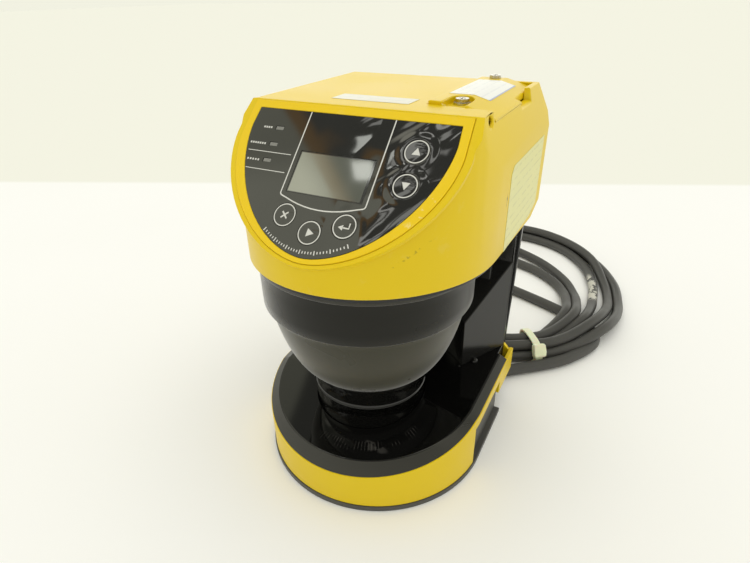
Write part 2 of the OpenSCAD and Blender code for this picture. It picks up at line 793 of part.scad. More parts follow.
board_front = cup_r - 13.2;
board_rear = rear_low + 6;
ribbon_slot_half = 16;
module main_board() {
  color(GREEN_BOARD) translate([0, 0, main_board_z]) difference() {
    translate([-board_half, board_front, 0]) cube([2 * board_half, board_rear - board_front, board_t]);
    translate([-ribbon_slot_half, channel_y - 1, -1])
      cube([2 * ribbon_slot_half, channel_t + 1, board_t + 2]);
  }
}
chip = [14, 14, 1.6];
memory_chip = [18, 10, 1.6];
relay = [12, 8, 9];
driver_chip = [10, 10, 3];
capacitor = [4, 10];     // radius and height
module board_components() {
  color("#26262a") translate([0, 0, main_board_z + board_t + pilot]) {
    translate([-board_half + 8, board_front + 10, 0]) cube(chip);
    translate([-12, board_front + 8, 0]) cube(memory_chip);
    translate([-board_half + 6, board_rear - 14, 0]) cube(relay);
    translate([14, board_rear - 14, 0]) cube(driver_chip);
    for (x = [-14, -4, 6]) translate([x, board_rear - 8, 0]) cylinder(r = capacitor[0], h = capacitor[1]);
  }
}

// ---------- top module ----------

module_top = 1.4;
module_deep = 6;
module_edge_drop = 2.8;  // from the head's top down to the module's right edge
module_edge_t = 0.7;
module_edge_x = head_top_half + module_edge_drop * head_lean_in / head_lean_h;
module_xl = 22;
module_xr = head_half - 2.9;
module_yf = 9.5;
module_yr = rear_low;
notch_front = rear_low - 31;
notch_w = 4.5;
notch_len = 15.6;
notch_deep = 5;
notch_floor_t = 1.8;
edge_reach = 4;
slant_x = module_xl + 13;
module module_outline(grow = 0) {
  inner = module_xr - notch_w;
  outer = module_xr + edge_reach;
  offset(delta = grow) polygon([[module_xl, module_yf], [inner - 3, module_yf - 2], [outer, module_yf - 5.5],
    [outer, notch_front], [inner, notch_front], [inner, module_yr], [module_xl, module_yr]]);
}
// The room the module takes up, which gets shallow at its right edge
module module_pocket(grow = 0) {
  low = head_top_z - module_deep - grow;
  edge = head_top_z - module_edge_drop - module_edge_t - grow;
  intersection() {
    translate([0, 0, low]) linear_extrude(module_deep + 10) module_outline(grow);
    end_view([[0, low], [module_xr - 8, low], [module_edge_x, edge], [far, edge], [far, head_top_z + 10],
      [0, head_top_z + 10]], -far, far);
  }
}
// The open notch in the head's top edge behind the module's right edge
module edge_notch() {
  translate([module_xr - notch_w - eps, notch_front, head_top_z - notch_deep]) cube([far, notch_len, far]);
}
module notch_floor() {
  intersection() {
    head_form();
    translate([module_xr - notch_w + fit, notch_front - 1, head_top_z - notch_deep - notch_floor_t])
      cube([far, notch_len + 2, notch_floor_t + notch_deep]);
  }
}
module_screw_at = [[32.5, module_yf + 9.5], [30, module_yr - 3]];
module_screw_r = 2.6;
recess_r = 4.6;
recess_deep = 1;
module top_module() {
  color(YELLOW) difference() {
    intersection() {
      module_pocket();
      end_view([[0, block_z], [head_half, block_z], [head_half, head_lean_z],
        [module_edge_x, head_top_z - module_edge_drop], [slant_x, head_top_z + module_top],
        [0, head_top_z + module_top]], -far, far);
    }
    translate([module_screw_at[0][0], module_screw_at[0][1], head_top_z - recess_deep]) {
      cylinder(r = recess_r, h = 5, $fn = 32);
      translate([-recess_r, -far, 0]) cube([2 * recess_r, far, 5]);
    }
    for (p = module_screw_at) translate([p[0], p[1], block_z]) cylinder(r = screw_r + fit, h = far);
    for (x = [module_xl + 3.5, slant_x + 1.5]) translate([x, module_yf + 12, head_top_z - module_deep - 1])
      cube([4, 40, 3.5]);
  }
}
module module_screws() {
  head_h = 1.4;
  color(STEEL) {
    translate([module_screw_at[0][0], module_screw_at[0][1], head_top_z - recess_deep + pilot]) {
      cylinder(r = module_screw_r + 0.8, h = 0.8);
      cylinder(r = module_screw_r, h = 0.8 + head_h);
      translate([0, 0, -8]) cylinder(r = screw_r, h = 9);
    }
    translate([module_screw_at[1][0], module_screw_at[1][1], head_top_z + module_top + pilot]) {
      cylinder(r = module_screw_r, h = head_h);
      translate([0, 0, -11]) cylinder(r = screw_r, h = 12);
    }
  }
}
socket_size = [14, 8];
module module_socket() {
  foot = main_board_z + board_t + pilot;
  color("#2c2c30") translate([module_xl + 4, module_yr - 24, foot])
    cube([socket_size[0], socket_size[1], head_top_z - module_deep - fit - 1 - foot]);
}

label_t = 0.15;
top_label_size = [34, 10.5];
module_label_size = [17, 38];
module top_label() {
  color(LABEL) translate([-top_label_size[0] / 2 - 1, 5.5, head_top_z])
    cube([top_label_size[0], top_label_size[1], label_t]);
}
// It lies over the bend where the module's top starts to fall
module module_label() {
  fall = (module_top + module_edge_drop) / (module_edge_x - slant_x);
  left = module_xl + 2.5;
  right = left + module_label_size[0];
  level = head_top_z + module_top;
  low = level - (right - slant_x) * fall;
  color(LABEL) intersection() {
    end_view([[left, level], [slant_x, level], [right, low], [right, low + label_t],
      [slant_x, level + label_t],
      [left, level + label_t]], -far, far);
    translate([0, module_screw_at[0][1] + 7, 0]) cube([far, module_label_size[1], far]);
  }
}
side_label_y = [22, rear_low + 6];
side_label_top = head_lean_z - 3;
side_label_cut = 3;
module side_label() {
  near = side_label_y[0];
  away = side_label_y[1];
  low = under(near) + 0.2;
  color("#dbe58c") translate([head_half, 0, 0]) rotate([90, 0, 90]) linear_extrude(label_t)
    polygon([[near, low], [away - 4 * side_label_cut, low], [away, low + side_label_cut],
      [away, side_label_top],
      [near + side_label_cut, side_label_top], [near, side_label_top - side_label_cut]]);
}

// ---------- optics ----------

frame_z = cup_top_z + fit;
frame_t = 3;
frame_r = cup_r - 2.2;
seat_in = 2;
barrel_wall = 2.5;
barrel_foot_h = 8;
barrel_top_r = 13;
board_gap = 1.7;         // room between the display board and the optics
barrel_top_z = head_top_z + face_y - barrel_top_r - (board_depth + board_t + board_gap) * sqrt(2);
barrel_hole_r = 7;
module optics_frame() {
  low = frame_z + frame_t;
  foot = frame_z + barrel_foot_h;
  lid = barrel_top_z - 2;
  color("#1b1b1d") rotate_extrude($fn = 96) polygon([
    [lens_r - seat_in, frame_z], [frame_r, frame_z], [frame_r, low], [lens_r + barrel_wall, low],
    [lens_r + barrel_wall, foot], [barrel_top_r, barrel_top_z], [barrel_hole_r, barrel_top_z],
    [barrel_hole_r, lid], [barrel_top_r - barrel_wall, lid], [lens_r + fit, foot], [lens_r + fit, low],
    [lens_r - seat_in, low]]);
}
laser_r = 5;
laser_h = 22;
module receiver_lens() {
  z = frame_z + frame_t + pilot;
  bore = laser_r + bond;
  color("#cfe3ea", 0.6) rotate_extrude($fn = 96) polygon(concat(
    [[bore, z], [lens_r, z]], bend([lens_r, z + 2], [lens_r * 0.6, z + 8], [bore, z + 9])));
}
module laser_module() {
  color(BRASS) translate([0, 0, frame_z]) {
    cylinder(r = laser_r, h = laser_h);
    translate([0, 0, laser_h]) cylinder(r = laser_r - 1.8, h = 2);
  }
}
receiver_size = [24, 24];
module receiver_board() {
  color(GREEN_BOARD) translate([-receiver_size[0] / 2, -receiver_size[1] / 2 + 1, barrel_top_z + pilot])
    cube([receiver_size[0], receiver_size[1], board_t]);
}

ribbon_half = 13;
ribbon_t = 1.2;
ribbon_front = foot_rear - 12;
module ribbon_cable() {
  y = channel_y + 1;
  color("#8c8f96") translate([-ribbon_half, 0, tail_floor + fit]) {
    translate([0, y, 0]) cube([2 * ribbon_half, ribbon_t, main_board_z + 3 - tail_floor]);
    translate([0, ribbon_front, 0]) cube([2 * ribbon_half, y - ribbon_front + eps, ribbon_t]);
  }
}

// ---------- cable ----------

gland_flange_t = 2.5;
module cable_gland() {
  color(GLOSS) translate([gland_x, foot_rear, gland_z]) rotate([-90, 0, 0]) {
    translate([0, 0, -base_wall - 1]) cylinder(r = gland_stem_r, h = base_wall + 1 + eps);
    translate([0, 0, fit]) cylinder(r = gland_r, h = gland_flange_t, $fn = 6);
    translate([0, 0, -eps]) cylinder(r = gland_stem_r, h = gland_out + eps);
  }
}

// The lead's own route, from the gland to the coil
LEAD = [[gland_x, foot_rear + gland_out, gland_z], [gland_x, 58, 8.3], [39.5, 63, 7.2], [43, 69, 5.2],
  [48.5, 75.5, 3.9], [56, 82.5, 3.6], [65, 90, 3.6], [74, 98, 3.6], [81, 105.5, 3.6], [86, 112.8, 3.6]];
lead_sides = 10;
lead_steps = 3;
function spline(p, i, t) = let (
  a = p[max(i - 1, 0)], b = p[i], c = p[i + 1], d = p[min(i + 2, len(p) - 1)])
  0.5 * (2 * b + (c - a) * t + (2 * a - 5 * b + 4 * c - d) * t * t + (3 * b - a - 3 * c + d) * t * t * t);
LEAD_PATH = concat([for (i = [0 : len(LEAD) - 2], k = [0 : lead_steps - 1]) spline(LEAD, i, k / lead_steps)],
  [LEAD[len(LEAD) - 1]]);
function unit(v) = v / norm(v);
function heading(i) = i == 0 ? [0, 1, 0] : i == len(LEAD_PATH) - 1 ? unit(LEAD_PATH[i] - LEAD_PATH[i - 1])
  : unit(LEAD_PATH[i + 1] - LEAD_PATH[i - 1]);
function ring_at(i) = let (h = heading(i), side = unit(cross(h, [0, 0, 1])), rise = cross(side, h))
  [for (k = [0 : lead_sides - 1]) LEAD_PATH[i]
    + cable_d / 2 * (cos(360 * k / lead_sides) * side + sin(360 * k / lead_sides) * rise)];
module cable_lead() {
  n = len(LEAD_PATH);
  m = lead_sides;
  points = [for (i = [0 : n - 1]) each ring_at(i)];
  faces = concat([[for (k = [0 : m - 1]) k]], [[for (k = [m - 1 : -1 : 0]) (n - 1) * m + k]],
    [for (i = [0 : n - 2], k = [0 : m - 1]) let (next = (k + 1) % m)
      [i * m + k, (i + 1) * m + k, (i + 1) * m + next, i * m + next]]);
  color(SATIN) polyhedron(points, faces);
}

coil_h = 2 * cable_d;
tie_angle = -53;
tie_t = 1.2;
tie_w = 4.6;
tie_reach = 22;
// Puts things where the tie holds the coil, with x along the coil's radius
module at_tie() {
  translate([0, coil_y, 0]) rotate([0, 0, tie_angle]) translate([coil_r - tie_reach, 0, 0]) children();
}
module tie_loop(grow = 0) {
  inner = [tie_reach - tie_t - grow + fit, 2 * tie_w, coil_h - tie_t - grow + fit];
  outer = [tie_reach + tie_t, tie_w, coil_h + tie_t] + 2 * grow * [1, 1, 1];
  at_tie() difference() {
    translate([-grow, -tie_w / 2 - grow, -grow]) cube(outer);
    translate([tie_t + grow, -tie_w, tie_t + grow]) cube(inner);
  }
}
module cable_coil() {
  c = cable_d / 2;
  color(SATIN) difference() {
    translate([0, coil_y, 0]) rotate_extrude($fn = 96) polygon([
      [coil_hole_r + c, 0], [coil_r - c, 0], [coil_r, c], [coil_r, coil_h - c], [coil_r - c, coil_h],
      [coil_hole_r + c, coil_h], [coil_hole_r, coil_h - c], [coil_hole_r, c]]);
    tie_loop(fit);
  }
}
tie_head = [8, 6.5, 4.5];
module cable_tie() {
  color("#e8eadf") {
    tie_loop();
    at_tie() translate([tie_reach - tie_head[0] - 2, -tie_head[1] / 2, coil_h + tie_t - eps]) cube(tie_head);
  }
}

base_plate();
base_plate_screws();
base_body();
base_band();
side_cover_left();
side_cover_right();
cup_pedestal();
window_cup();
column();
column_back_cover();
back_cover_screws();
head_shell();
head_underside();
front_cover();
panel_sheet();
lcd_window();
lcd_module();
status_lenses();
key_left();
key_middle();
key_right();
key_upper();
key_lower();
key_switches();
display_board();
main_board();
board_components();
top_module();
module_screws();
module_socket();
top_label();
module_label();
side_label();
optics_frame();
laser_module();
receiver_lens();
receiver_board();
motor_stator();
motor_bearings();
rotor();
scan_mirror();
encoder_disc();
encoder_sensor();
ribbon_cable();
cable_gland();
cable_lead();
cable_coil();
cable_tie();
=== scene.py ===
import json
import math
import bpy
import bmesh
from mathutils import Matrix, Vector


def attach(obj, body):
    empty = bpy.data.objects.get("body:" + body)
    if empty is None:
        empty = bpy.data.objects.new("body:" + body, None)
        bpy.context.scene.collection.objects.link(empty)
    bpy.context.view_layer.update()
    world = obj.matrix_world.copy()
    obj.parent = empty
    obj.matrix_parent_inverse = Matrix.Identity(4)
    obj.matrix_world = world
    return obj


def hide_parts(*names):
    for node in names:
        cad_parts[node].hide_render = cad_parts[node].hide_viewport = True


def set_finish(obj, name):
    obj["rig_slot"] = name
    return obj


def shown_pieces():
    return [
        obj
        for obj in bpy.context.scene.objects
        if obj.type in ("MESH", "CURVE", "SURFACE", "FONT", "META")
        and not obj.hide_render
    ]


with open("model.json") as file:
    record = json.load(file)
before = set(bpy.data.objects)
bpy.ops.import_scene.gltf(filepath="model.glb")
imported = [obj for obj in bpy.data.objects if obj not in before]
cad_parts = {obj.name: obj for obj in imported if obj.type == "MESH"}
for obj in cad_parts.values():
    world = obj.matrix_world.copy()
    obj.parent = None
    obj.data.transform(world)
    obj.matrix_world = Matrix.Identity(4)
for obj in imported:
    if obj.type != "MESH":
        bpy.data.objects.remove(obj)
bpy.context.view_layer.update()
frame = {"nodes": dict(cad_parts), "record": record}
NODES = frame["nodes"]
scene = bpy.context.scene
MM = 0.001

# ---------- camera ----------

cam_data = bpy.data.cameras.new("camera")
cam = bpy.data.objects.new("camera", cam_data)
scene.collection.objects.link(cam)
right = Vector((0.88545, 0.46445, -0.01602))
up = Vector((-0.21547, 0.44084, 0.87134))
back = Vector((0.41176, -0.76808, 0.49042))
turn = Matrix((right, up, back)).transposed().to_4x4()
cam.matrix_world = Matrix.Translation((0.099829, -0.180087, 0.209121)) @ turn
cam_data.sensor_fit = "HORIZONTAL"
cam_data.sensor_width = 36.0
cam_data.lens = 24.96
cam_data.clip_start = 0.01
cam_data.clip_end = 50.0
scene.camera = cam
scene.view_settings.view_transform = "Standard"

# ---------- node helpers ----------


class Nodes:
    """A material's node tree, with short calls for the nodes used here."""

    def __init__(self, name, rough=0.4, color=(0.5, 0.5, 0.5), ior=1.5, **sockets):
        self.mat = bpy.data.materials.new(name)
        self.mat.use_nodes = True
        self.tree = self.mat.node_tree
        self.tree.nodes.clear()
        self.out = self.tree.nodes.new("ShaderNodeOutputMaterial")
        self.bsdf = self.tree.nodes.new("ShaderNodeBsdfPrincipled")
        self.link(self.bsdf.outputs["BSDF"], self.out.inputs["Surface"])
        self.set("Roughness", rough)
        self.set("Base Color", (*color, 1.0))
        self.set("IOR", ior)
        for k, v in sockets.items():
            self.set(k.replace("_", " "), v)
        self.coord = self.tree.nodes.new("ShaderNodeTexCoord")

    def link(self, a, b):
        self.tree.links.new(a, b)

    def set(self, socket, value):
        s = self.bsdf.inputs[socket]
        if isinstance(value, bpy.types.NodeSocket):
            self.link(value, s)
        else:
            s.default_value = value

    def put(self, socket, value):
        if isinstance(value, bpy.types.NodeSocket):
            self.link(value, socket)
        else:
            socket.default_value = value

    def math(self, op, a, b=0.0, c=0.0, clamp=False):
        n = self.tree.nodes.new("ShaderNodeMath")
        n.operation = op
        n.use_clamp = clamp
        for s, v in zip(n.inputs, (a, b, c)):
            self.put(s, v)
        return n.outputs[0]

    def vec(self, op, a, b=(0, 0, 0)):
        n = self.tree.nodes.new("ShaderNodeVectorMath")
        n.operation = op
        self.put(n.inputs[0], a)
        self.put(n.inputs[1], b)
        return n.outputs["Value"] if op in ("LENGTH", "DISTANCE", "DOT_PRODUCT") else n.outputs[0]

    def stretch(self, v, scale, rot=(0, 0, 0)):
        n = self.tree.nodes.new("ShaderNodeMapping")
        self.put(n.inputs["Vector"], v)
        n.inputs["Scale"].default_value = scale
        n.inputs["Rotation"].default_value = rot
        return n.outputs[0]

    def noise(self, scale, detail=3.0, rough=0.5, at=None, distort=0.0):
        n = self.tree.nodes.new("ShaderNodeTexNoise")
        n.inputs["Scale"].default_value = scale
        n.inputs["Detail"].default_value = detail
        n.inputs["Roughness"].default_value = rough
        n.inputs["Distortion"].default_value = distort
        self.link(at or self.coord.outputs["Object"], n.inputs["Vector"])
        return n.outputs["Fac"]

    def ramp(self, v, a, b, lo=0.0, hi=1.0, smooth=True):
        n = self.tree.nodes.new("ShaderNodeMapRange")
        n.interpolation_type = "SMOOTHSTEP" if smooth else "LINEAR"
        n.clamp = True
        for s, x in zip(("From Min", "From Max", "To Min", "To Max"), (a, b, lo, hi)):
            n.inputs[s].default_value = x
        self.link(v, n.inputs["Value"])
        return n.outputs[0]

    def mix(self, f, a, b):
        n = self.tree.nodes.new("ShaderNodeMix")
        n.data_type = "RGBA"
        self.put(n.inputs[0], f)
        for s, v in ((n.inputs[6], a), (n.inputs[7], b)):
            self.put(s, v if isinstance(v, bpy.types.NodeSocket) else (*v, 1.0))
        return n.outputs[2]

    def xyz(self):
        n = self.tree.nodes.new("ShaderNodeSeparateXYZ")
        self.link(self.coord.outputs["Object"], n.inputs[0])
        return n.outputs

    def down_face(self):
        """How far down the sloping face a point lies, in metres."""
        _, y, z = self.xyz()
        fall = self.math("SUBTRACT", FACE_SUM, self.math("ADD", y, z))
        return self.math("MULTIPLY", fall, DOWN)

    def spot(self, centre, radii, rot=(0, 0, 0), soft=0.35):
        """1 inside an ellipsoid given in metres, falling to 0 at its edge."""
        moved = self.vec("SUBTRACT", self.coord.outputs["Object"], centre)
        n = self.tree.nodes.new("ShaderNodeVectorRotate")
        n.rotation_type = "EULER_XYZ"
        n.invert = True
        self.link(moved, n.inputs["Vector"])
        n.inputs["Rotation"].default_value = rot
        scaled = self.vec("MULTIPLY", n.outputs[0], tuple(1 / r for r in radii))
        return self.ramp(self.vec("LENGTH", scaled), 1.0, 1.0 - soft)

    def bump(self, height, strength, distance):
        n = self.tree.nodes.new("ShaderNodeBump")
        n.inputs["Strength"].default_value = strength
        n.inputs["Distance"].default_value = distance
        self.put(n.inputs["Height"], height)
        self.link(n.outputs[0], self.bsdf.inputs["Normal"])


# ---------- cable ----------

CABLE_D = 0.0068
COIL_Y = 185
LEAD = [(38, 54, 8.5), (38, 58, 8.3), (39.5, 63, 7.2), (43, 69, 5.2), (48.5, 75.5, 3.9), (56, 82.5, 3.6),
        (65, 90, 3.6), (74, 98, 3.6), (81, 105.5, 3.6), (86, 112.8, 3.6)]
FLOOR = 3.5
TOP = 9.4
# From the lead, round its end, and back across the inside of the coil
ACROSS = [(91.5, 122.5, FLOOR), (95, 133, FLOOR), (93, 144, FLOOR), (85.5, 152.5, FLOOR), (76, 158.5, FLOOR),
          (64, 164.5, FLOOR), (48, 171, FLOOR), (28, 178, FLOOR), (6, 184, FLOOR), (-16, 184, FLOOR),
          (-37, 176, FLOOR), (-50, 161, FLOOR), (-49, 141, FLOOR), (-34, 120, FLOOR), (-12, 105, FLOOR),
          (14, 99.5, FLOOR)]
# Each turn of the coil, as [angle, radius, height] round the coil's middle, from the tie
TIE_ANGLE = -53
TURNS = [
    [(-53, 90.5, FLOOR), (-40, 86, 6), (-25, 80, 10.5), (-10, 71, 7), (5, 65, FLOOR), (20, 58, FLOOR),
     (40, 50, FLOOR), (60, 45, FLOOR), (80, 46, FLOOR), (100, 52, FLOOR), (120, 59, FLOOR), (145, 64, FLOOR),
     (180, 67, FLOOR), (205, 70, FLOOR), (230, 75, FLOOR), (250, 82, FLOOR), (270, 89, 4.6), (287, 92, 8.6)],
    [(-53, 94, TOP), (-40, 91, 9.4), (-25, 86.5, 12), (-10, 78, 8), (5, 72.5, FLOOR), (20, 67.5, FLOOR),
     (40, 63, FLOOR), (60, 62, FLOOR), (80, 64, FLOOR), (100, 66, FLOOR), (120, 68.5, FLOOR), (145, 72, FLOOR),
     (180, 76, FLOOR), (205, 79, FLOOR), (230, 84, FLOOR), (250, 89, FLOOR), (270, 94.5, FLOOR),
     (287, 96.5, FLOOR)],
    [(-53, 97.5, FLOOR), (-40, 96, 6.4), (-25, 93, 10.5), (-10, 88.5, 7), (5, 86.5, FLOOR), (20, 88, FLOOR),
     (40, 92.5, FLOOR), (60, 96.5, FLOOR), (80, 96, FLOOR), (100, 91, FLOOR), (120, 87.5, FLOOR),
     (145, 86, FLOOR), (180, 86, FLOOR), (205, 88, FLOOR), (230, 92, 4.5), (250, 96, 7.6), (270, 99.5, TOP),
     (287, 100.8, TOP)],
    [(-53, 101, TOP), (-40, 101.5, 10), (-25, 100.5, 12.6), (-10, 98.5, 9), (5, 97, FLOOR), (20, 96.8, FLOOR),
     (40, 99.5, 8.2), (60, 100.8, TOP), (80, 100.5, TOP), (100, 98.5, 7), (120, 96, FLOOR), (145, 95, FLOOR),
     (180, 95, FLOOR), (205, 97, FLOOR), (230, 100, FLOOR), (250, 103, FLOOR), (270, 104.5, FLOOR),
     (287, 104.5, FLOOR)],
    [(-53, 104.5, FLOOR), (-40, 106.5, 5.5), (-25, 107.6, 9.8), (-10, 106, 7), (5, 103.8, FLOOR),
     (20, 103.6, FLOOR), (40, 104.2, FLOOR), (60, 104.5, FLOOR), (80, 104.4, FLOOR), (100, 104.6, FLOOR),
     (120, 104, FLOOR), (145, 103, FLOOR), (180, 103, FLOOR), (205, 105.6, FLOOR)],
]


def round_coil(angle, radius, z):
    a = math.radians(angle)
    return (radius * math.cos(a), COIL_Y + radius * math.sin(a), z)


route = LEAD + ACROSS + [round_coil(*p) for t in TURNS for p in t]


def smooth_line(points, n):
    """The smooth line through the points, n steps from each to the next."""
    out = []
    last = len(points) - 1
    for i in range(last):
        a, b, c, d = (Vector(points[min(max(j, 0), last)]) for j in (i - 1, i, i + 1, i + 2))
        for k in range(n):
            t = k / n
            out.append(0.5 * (2 * b + (c - a) * t + (2 * a - 5 * b + 4 * c - d) * t * t
                              + (3 * b - a - 3 * c + d) * t ** 3) * MM)
    out.append(Vector(points[-1]) * MM)
    return out


def add_object(name, mesh, body="housing"):
    o = bpy.data.objects.new(name, mesh)
    scene.collection.objects.link(o)
    if body:
        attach(o, body)
    return o


def mesh_object(name, verts, faces, body="housing", smooth=True):
    m = bpy.data.meshes.new(name)
    m.from_pydata([tuple(v) for v in verts], [], faces)
    m.validate()
    m.update()
    if smooth:
        m.shade_smooth()
    return add_object(name, m, body)


def tube(name, line, radius, sides=14):
    """A round tube along the line, with its ends cut square."""
    verts, faces = [], []
    side = None
    for i, p in enumerate(line):
        ahead = (line[min(i + 1, len(line) - 1)] - line[max(i - 1, 0)]).normalized()
        if side is None:
            side = ahead.cross(Vector((0, 0, 1))).normalized()
        side = (side - ahead * side.dot(ahead)).normalized()
        rise = ahead.cross(side)
        for k in range(sides):
            a = 2 * math.pi * k / sides
            verts.append(p + (side * math.cos(a) + rise * math.sin(a)) * radius)
    n = len(line)
    for i in range(n - 1):
        for k in range(sides):
            j = (k + 1) % sides
            faces.append((i * sides + k, i * sides + j, (i + 1) * sides + j, (i + 1) * sides + k))
    for ring, end, flip in ((0, line[0], True), (n - 1, line[-1], False)):
        lips = []
        for shrink in (0.97, 0.62):
            start = len(verts)
            verts += [end + (verts[ring * sides + k] - end) * shrink for k in range(sides)]
            lips.append(start)
        centre = len(verts)
        verts.append(end)
        rows = [ring * sides] + lips
        for a, b in zip(rows, rows[1:]):
            for k in range(sides):
                j = (k + 1) % sides
                quad = (a + k, a + j, b + j, b + k)
                faces.append(quad[::-1] if flip else quad)
        for k in range(sides):
            tri = (rows[-1] + k, rows[-1] + (k + 1) % sides, centre)
            faces.append(tri[::-1] if flip else tri)
    return mesh_object(name, verts, faces)


cable_line = smooth_line(route, 6)
cable = tube("cable", cable_line, CABLE_D / 2)
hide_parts("cable_lead", "cable_coil")
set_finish(cable, "cable_jacket")


def bevel(o, width, segments=3, angle=30):
    b = o.modifiers.new("bevel", "BEVEL")
    b.width = width
    b.segments = segments
    b.limit_method = "ANGLE"
    b.angle_limit = math.radians(angle)
    w = o.modifiers.new("normals", "WEIGHTED_NORMAL")
    w.keep_sharp = True
    return o


# The nylon tie: a strap round the bundle, with its head and its loose tail
tie_a = math.radians(TIE_ANGLE)
tie_out = Vector((math.cos(tie_a), math.sin(tie_a), 0))
tie_along = Vector((-math.sin(tie_a), math.cos(tie_a), 0))


def tie_point(r, s, z):
    return (Vector((0, COIL_Y, 0)) + tie_out * r + tie_along * s + Vector((0, 0, z))) * MM


def tie_mesh():
    lo, hi = 86.4, 108.6
    mid = (lo + hi) / 2
    half = (hi - lo) / 2
    top = 13.4
    n = 48
    width, thick = 4.6, 1.1
    verts, faces = [], []
    for i in range(n):
        a = 2 * math.pi * i / n
        c, s = math.cos(a), math.sin(a)
        r = mid + half * math.copysign(abs(c) ** 0.62, c)
        z = max(top / 2 + (top / 2) * math.copysign(abs(s) ** 0.62, s), 0.5)
        for side, out in ((-1, 0), (1, 0), (1, 1), (-1, 1)):
            grow = thick * out
            verts.append(tie_point(r + grow * c, side * width / 2, max(z + grow * s, 0.05 if not out else 0.0)))
    for i in range(n):
        j = (i + 1) % n
        for k in range(4):
            m = (k + 1) % 4
            faces.append((4 * i + k, 4 * i + m, 4 * j + m, 4 * j + k))
    return verts, faces


def block(sections):
    """A closed bar through sections of four corners each."""
    verts = [v for s in sections for v in s]
    faces = [(3, 2, 1, 0)]
    for i in range(len(sections) - 1):
        for k in range(4):
            m = (k + 1) % 4
            faces.append((4 * i + k, 4 * i + m, 4 * i + 4 + m, 4 * i + 4 + k))
    last = 4 * (len(sections) - 1)
    faces.append(tuple(last + k for k in range(4)))
    return verts, faces


def tie_section(r, z, half, thick, lean):
    """Four corners of the tail or head, across the strap, lying at an angle to the floor."""
    a = math.radians(lean)
    out = (math.cos(a), math.sin(a))
    return [tie_point(r + out[0] * t, s, z + out[1] * t) for s, t in
            ((-half, 0), (half, 0), (half, thick), (-half, thick))]


tie = mesh_object("tie_strap", *tie_mesh())
bevel(tie, 0.0003, 2)
tie_head = mesh_object("tie_head", *block([
    tie_section(106.2, 13.6, 2.9, 3.2, 35), tie_section(106.6, 13.0, 3.7, 4.4, 35),
    tie_section(108.6, 9.4, 3.9, 4.6, 30), tie_section(109.6, 7.0, 3.7, 4.2, 25),
    tie_section(109.8, 6.4, 2.9, 3.4, 25)]))
bevel(tie_head, 0.0005, 3)
tie_tail = mesh_object("tie_tail", *block([
    tie_section(110.6, 7.2, 2.3, 1.2, 20), tie_section(111.4, 4.0, 2.3, 1.1, 14),
    tie_section(112.6, 1.6, 2.25, 1.1, 30), tie_section(114.2, 0.5, 1.9, 1.0, 60)]))
bevel(tie_tail, 0.0003, 2)
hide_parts("cable_tie")
for o in (tie, tie_head, tie_tail):
    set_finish(o, "tie_nylon")

# ---------- finished copies of the CAD nodes ----------


def sharp_angle(e):
    return math.degrees(e.calc_face_angle_signed(0.0)) if len(e.link_faces) == 2 else 0.0


# Edges that turn by less than this many degrees are left as they are
SHARP = 24


def dress(node, width=0.4, pick=None, segments=3, dissolve=1.0, body="housing"):
    """A copy of the node with its edges rounded: pick(middle, angle, length) gives a width in millimetres."""
    bm = bmesh.new()
    bm.from_mesh(NODES[node].data)
    bmesh.ops.remove_doubles(bm, verts=bm.verts, dist=0.00001)
    bmesh.ops.dissolve_limit(bm, angle_limit=math.radians(dissolve), verts=bm.verts, edges=bm.edges,
                             use_dissolve_boundaries=False)
    bm.normal_update()
    weight = bm.edges.layers.float.new("bevel_weight_edge")
    found = []
    for e in bm.edges:
        angle = sharp_angle(e)
        e.smooth = True
        if abs(angle) < SHARP:
            continue
        w = width
        if pick:
            mid = (e.verts[0].co + e.verts[1].co) / 2 / MM
            w = pick(mid, angle, e.calc_length() / MM)
        if w > 0:
            found.append((e, w))
        else:
            e.smooth = False
    most = max([w for _, w in found], default=0.1)
    for e, w in found:
        e[weight] = w / most
    for f in bm.faces:
        f.smooth = True
    m = bpy.data.meshes.new(node + "_finished")
    bm.to_mesh(m)
    bm.free()
    o = add_object(m.name, m, body)
    if found:
        b = o.modifiers.new("bevel", "BEVEL")
        b.limit_method = "WEIGHT"
        b.width = most * MM
        b.segments = segments
        b.use_clamp_overlap = False
        b.miter_outer = "MITER_ARC"
        b.loop_slide = True
    w = o.modifiers.new("normals", "WEIGHTED_NORMAL")
    w.keep_sharp = True
    w.weight = 80
    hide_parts(node)
    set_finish(o, SLOT[node])
    return o


SLOT = {e["node"]: e["material_slot"] for e in frame["record"]["subparts"]}
HEAD_TOP = 171.0
FACE_Y = -5.4
FILM_H = 0.4
DOWN = math.sqrt(0.5)


def face_point(x, s, h=FILM_H):
    """A point on the sloping display face: x across, s down the slope, h out of it."""
    return Vector((x, FACE_Y - DOWN * (s + h), HEAD_TOP - DOWN * (s - h))) * MM


def face_place(p):
    """The s and h of a point in millimetres."""
    out = FACE_Y - p.y
    drop = HEAD_TOP - p.z
    return (out + drop) * DOWN, (out - drop) * DOWN


def shell_edge(p, angle, _length):
    """The shell's edge widths: fine by the face, sharp where the keys pass, wide along the top."""
    s, h = face_place(p)
    if angle < 0:
        return 0.0
    if h > -3.0:
        return 0.4 if h > 0.9 else (0.2 if h > -1.0 else 0.0)
    if p.x > 18 and p.z > 158 and p.y > -4:
        inside = p.x < 50 and 6 < p.y < 89
        return 0.35 if inside else 1.5
    if p.z > 170:
        return 1.6
    if p.z < 116:
        return 0.5
    return 1.4


